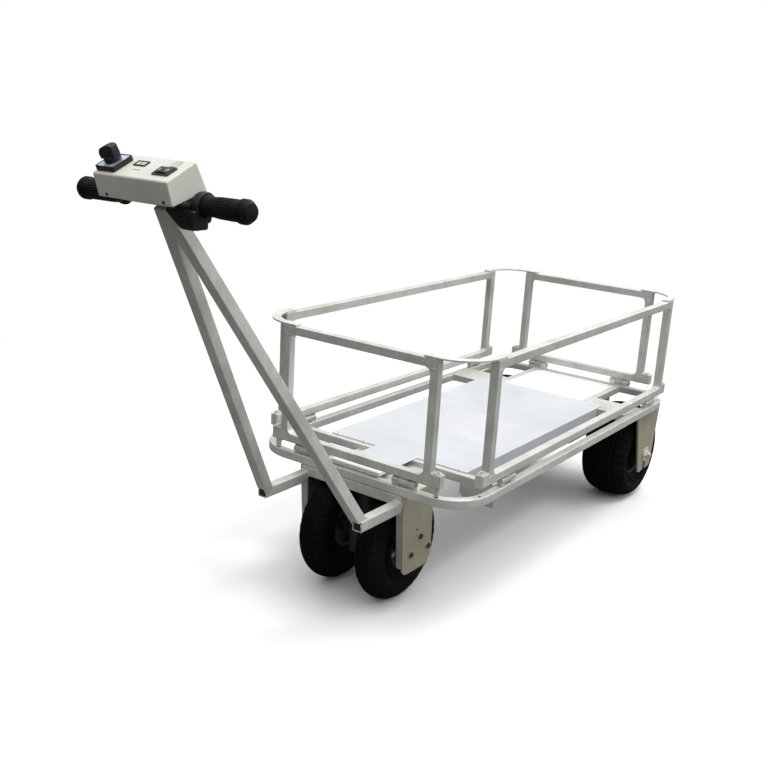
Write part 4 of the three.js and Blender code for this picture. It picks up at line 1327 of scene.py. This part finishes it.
# ---- control box
BOX_SECTION = ((-34.5, 0), (34.5, 0), (36.5, -53), (-40.6, -40.3))
ROCKER_AT = (55, -6)
SWITCH_AT = (-62, -5)
BOX_HALF = Span("control_box_cover").high.x


def box_place():
    """The box's own tilted frame: origin in the middle of the top panel."""
    axis = Vector(JOINTS["power_switch_turn"]["axis"])
    turn = Matrix.Rotation(math.atan2(-axis.y, axis.z), 4, "X")
    origin = joint_place("direction_rocker_tilt") - turn @ Vector((*ROCKER_AT, 0))
    return Matrix.Translation(origin) @ turn


BOX = box_place()


def on_box(name, material, meshes, body="truck"):
    piece(name, material, meshes, BODY_OF.get(name, body), place=BOX)


def square_ring(x, y, wall, height, bevel, corner, low=0.0):
    """A flat frame with a rectangular window; wall and corner give two values each."""
    window = rectangle(shrunk(x, wall[0]), shrunk(y, wall[1]), corner[1], corner[2])
    return prism([rectangle(x, y, corner[0], 4), window], "z", (low, height), bevel)


def box_cover():
    """The folded cover, hollow inside, with holes for the rocker and the switch's spindle."""
    shell = prism([rounded(BOX_SECTION, 4, 5)], "x", about(0, BOX_HALF), 2.4, 4)
    sheet = 1.5
    drops = ((sheet, sheet), (-sheet, sheet), (-sheet, 4), (sheet, 4))
    room = [(u + du, v - dv) for (u, v), (du, dv) in zip(BOX_SECTION, drops)]
    x, y = ROCKER_AT
    tools = [
        prism([room], "x", about(0, BOX_HALF - sheet), 0.1),
        block(about(x, 16), about(y, 10), (-8, 3), 0.1),
        rod("z", 7, (-8, 3), (*SWITCH_AT, 0), 0.1),
    ]
    on_box("control_box_cover", BOX_PAINT, [cut(shell, *tools)])


def box_base():
    """The bottom plate and the two saddles that clamp the handlebar."""
    c, d = BOX_SECTION[2:]
    a, b = d[0] + 2.4, c[0] - 2.4
    plate = [(a, d[1] + 1), (b, c[1] + 1), (b, c[1] + 3), (a, d[1] + 3)]
    meshes = [prism([plate], "x", about(0, BOX_HALF - 1.8), 0.3)]
    _, y, z = BOX.inverted() @ bar.mid
    for x in (-46, 46):
        saddle = block(about(x, 9), about(y, 8), (z, z + 17), 1)
        bore = rod("x", bar.size.z / 2 + 0.4, (-90, 90), (0, y, z), 0.1)
        meshes.append(cut(saddle, bore))
    on_box("control_box_base", BOX_PAINT, meshes)


def box_floor_z(y):
    """The height of the box's underside at a place across it."""
    c, d = BOX_SECTION[2:]
    return d[1] + (y - d[0]) * (c[1] - d[1]) / (c[0] - d[0])


def box_screws():
    """Two dark screws in the box's sloping front face."""
    a = Vector((0, *BOX_SECTION[0]))
    down = (Vector((0, *BOX_SECTION[3])) - a).normalized()
    out = down.cross(Vector((1, 0, 0)))
    turn = out.to_track_quat("Z", "X").to_matrix().to_4x4()
    places = [Vector((x, 0, 0)) + a + down * 34 for x in (-64, 70)]
    on_box("control_box_screws", BOLT, [pan_screw(place, 3.0, turn) for place in places])


def power_switch():
    """The switch's square base: a raised rim, a tray and a pale blue face."""
    x, y = SWITCH_AT
    half = 22.5
    inner = half - 2.6
    top = 9
    rim = square_ring(about(x, half), about(y, half), (3, 3), top, 1.0, (4, 2.5, 4), 0.3)
    tray = block(about(x, inner), about(y, inner), (0.6, top - 3), 0.3)
    on_box("power_switch_base", PLASTIC, [rim, tray])
    outline = rectangle(about(x, inner - 0.2), about(y, inner - 0.2), 2, 3)
    face = prism([outline, circle(x, y, 7.4)], "z", (top - 3, top - 0.6), 0.3)
    on_box("power_switch_face", FACE_PLATE, [face])


def power_knob():
    """A cam-switch handle: a skirt and a finger bar with a raked, rounded top."""
    x, y = SWITCH_AT
    base = 9.5
    skirt = [(0, 0), (14, 0), (14, 5), (11.5, 9), (0, 9)]
    side = [(-20, 3), (14, 3), (16, 12), (14, 28), (3, 28), (-17, 21), (-22, 12)]
    side = rounded([(x + u, base + v) for u, v in side], 4, 5)
    meshes = [
        lathe(rounded(skirt, 1.2, 3, False), "z", (x, y, base)),
        prism([side], "y", about(y, 8), 2.6, 4),
        rod("z", 5, (-6, base + 1), (x, y, 0), 0.4),
    ]
    on_box("power_switch_knob", PLASTIC, meshes)


def rocker():
    """The dished rocker key with its two marks, in a raised frame."""
    x, y = ROCKER_AT
    side = [(-14, -5), (14, -5), (13.5, 3), (0, 5), (-13.5, 3)]
    side = rounded([(x + u, v) for u, v in side], 1.6, 4)
    marks = [
        block(about(x - 9, 0.5), about(y, 3), (3.4, 4.4), 0.2),
        sleeve("z", 3, 2.1, (3.5, 4.3), (x + 8.5, y, 0), 0.1, 24),
    ]
    on_box("direction_rocker", PLASTIC, [prism([side], "y", about(y, 8), 0.9, 3)])
    on_box("direction_rocker_marks", NYLON, marks, "direction_rocker")
    rim = square_ring(about(x, 18.5), about(y, 12.5), (3.5, 3.5), 2.2, 0.6, (2.5, 1.2, 3))
    on_box("direction_rocker_frame", PLASTIC, [rim])


def meter():
    """A small meter: a dark frame, a clouded lens, a needle and a legend line."""
    x, y = (-26, 2), (1, 16)
    on_box("meter_frame", PLASTIC, [square_ring(x, y, (3.4, 2.8), 1.8, 0.5, (2, 1, 3))])
    on_box("meter_lens", LENS, [block(shrunk(x, 3), shrunk(y, 2.4), (0.0, 1.2), 0.3)])
    needle = block((-13, -12), shrunk(y, 4), (1.1, 1.5), 0.1)
    legend = block((-16, 4), (-10.6, -9.6), (0.0, 0.25), 0.05)
    on_box("meter_marks", PLASTIC, [needle, legend])


def indicator():
    """A flush level indicator: a thin grey surround and four pale windows."""
    x, y = (50, 66), (10, 28)
    on_box("indicator_surround", LENS, [square_ring(x, y, (1.6, 1.6), 0.9, 0.3, (2, 1.2, 3))])
    lows = [y[0] + 2.6 + k * 3.4 for k in range(4)]
    windows = [block(shrunk(x, 3), (low, low + 2.4), (0.0, 0.7), 0.2) for low in lows]
    on_box("indicator_windows", NYLON, windows)


def cables():
    """Cables from the box's floor: one to the throttle, and a loop by the left saddle."""
    start = Vector((70, -10, box_floor_z(-10)))
    housing = Span("throttle_housing")
    end = BOX.inverted() @ Vector((housing.low.x + 6, housing.mid.y - 6, housing.low.z + 12))
    sag = start.lerp(end, 0.5) + Vector((-4, -8, -8))
    route = [start + Vector((0, 0, 4)), start, sag, end, end + Vector((4, 0, -2))]
    y = -34
    z = box_floor_z(y - 3)
    loop = [(-47, y, z), (-46, y - 1, z - 3), (-42, y - 1, z - 4), (-38, y - 1, z - 3), (-37, y, z)]
    meshes = [pipe(curve_path(route, 10), 3.2, 0, 14), pipe(curve_path(loop, 8), 2.4, 0, 12)]
    for x in (-47, -37):
        meshes.append(rod("z", 3.2, (z - 2, z + 3), (x, y, 0), 0.8, 24))
    meshes.append(rod("z", 7, (start.z - 5, start.z + 2), start, 1.2, 24))
    on_box("control_cables", CABLE, meshes)


def paint_hidden_nodes():
    """The CAD pieces that stay: deep inside the truck and the battery case."""
    for name, material in (("turntable_ring", NYLON), ("kingpin", STEEL), ("battery_pack", HOUSING_PAINT)):
        materials = frame["nodes"][name].data.materials
        materials.clear()
        materials.append(material)


# ---- studio
FLOOR_HALF = 30.0
SKY_AXIS = (0.14, 0.2, 0.97)  # the soft sky's brightest direction
SKY_DIM = 0.03
SKY_BRIGHT = 1.55
WHITE = (1, 1, 1)
KEY_PLACE = Vector((1.3, 0.5, 3.3))
KEY_TARGET = Vector((0, -0.2, 0.1))
CAMERA = {
    "azimuth": 35.25826,
    "elevation": 16.02993,
    "roll": 3.41224,
    "distance": 2.50535,
    "target": (-0.13852, -0.27881, 0.41862),  # above the ground
    "focal": 996.08 / 768,  # focal length over the picture's width
}


def studio_floor(ground):
    mesh = bpy.data.meshes.new("floor")
    corners = rectangle(about(0, FLOOR_HALF), about(0, FLOOR_HALF))
    mesh.from_pydata([(x, y, ground) for x, y in corners], [], [(0, 1, 2, 3)])
    mesh.materials.append(floor_surface("floor"))
    linked("floor", mesh)


def key_light():
    """One soft round lamp, high up on the right."""
    light = bpy.data.lights.new("key", "AREA")
    light.shape = "DISK"
    light.size = 1.4
    light.energy = 55
    obj = linked("key", light)
    obj.location = KEY_PLACE
    obj.rotation_euler = (KEY_TARGET - KEY_PLACE).to_track_quat("-Z", "Y").to_euler()


def studio_world():
    """White to the camera; for everything else a soft sky, bright overhead and dim below."""
    world = bpy.data.worlds.new("studio")
    bpy.context.scene.world = world
    world.use_nodes = True
    world.node_tree.nodes.clear()
    sky = Nodes(world.node_tree)
    way = [(0, sky.add("TexCoord", "Generated")), (1, SKY_AXIS)]
    height = sky.add("VectorMath", "Value", way, operation="DOT_PRODUCT")
    strength = sky.ramp(height, 0.1, 0.75, SKY_DIM, SKY_BRIGHT)
    soft = sky.add("Background", "Background", [("Color", WHITE), ("Strength", strength)])
    seen = sky.add("Background", "Background", [("Color", WHITE)])
    layers = [("Fac", sky.add("LightPath", "Is Camera Ray")), (1, soft), (2, seen)]
    output = sky.nodes.new("ShaderNodeOutputWorld")
    sky.put(output.inputs["Surface"], sky.add("MixShader", "Shader", layers))


def studio_camera(ground):
    data = bpy.data.cameras.new("camera")
    data.sensor_width = 36
    data.lens = data.sensor_width * CAMERA["focal"]
    data.clip_end = 200
    camera = linked("camera", data)
    camera.matrix_world = (
        Matrix.Translation(Vector(CAMERA["target"]) + Vector((0, 0, ground)))
        @ Matrix.Rotation(math.radians(CAMERA["azimuth"]), 4, "Z")
        @ Matrix.Rotation(math.radians(90 - CAMERA["elevation"]), 4, "X")
        @ Matrix.Rotation(math.radians(CAMERA["roll"]), 4, "Z")
        @ Matrix.Translation((0, 0, CAMERA["distance"]))
    )
    bpy.context.scene.camera = camera


def studio():
    ground = cad_bounds[0][2]
    studio_floor(ground)
    studio_world()
    key_light()
    studio_camera(ground)
    bpy.context.scene.view_settings.view_transform = "Standard"


# ---- assembly
base_ring()
front_member()
bay_frame()
deck()
battery()
gates()
wheels()
for side_name, side_sign in SIDES:
    rear_fork(side_name)
    rear_axle(side_name, side_sign)
    truck_bracket(side_name, side_sign)
    bearing_housing(side_name, side_sign)
truck_beam()
gear_case()
drive_motor()
handle_frame()
handlebar()
grip("left_grip", -1)
grip("throttle_grip", 1)
throttle_housing()
box_cover()
box_base()
box_screws()
power_switch()
power_knob()
rocker()
meter()
indicator()
cables()
paint_hidden_nodes()
studio()
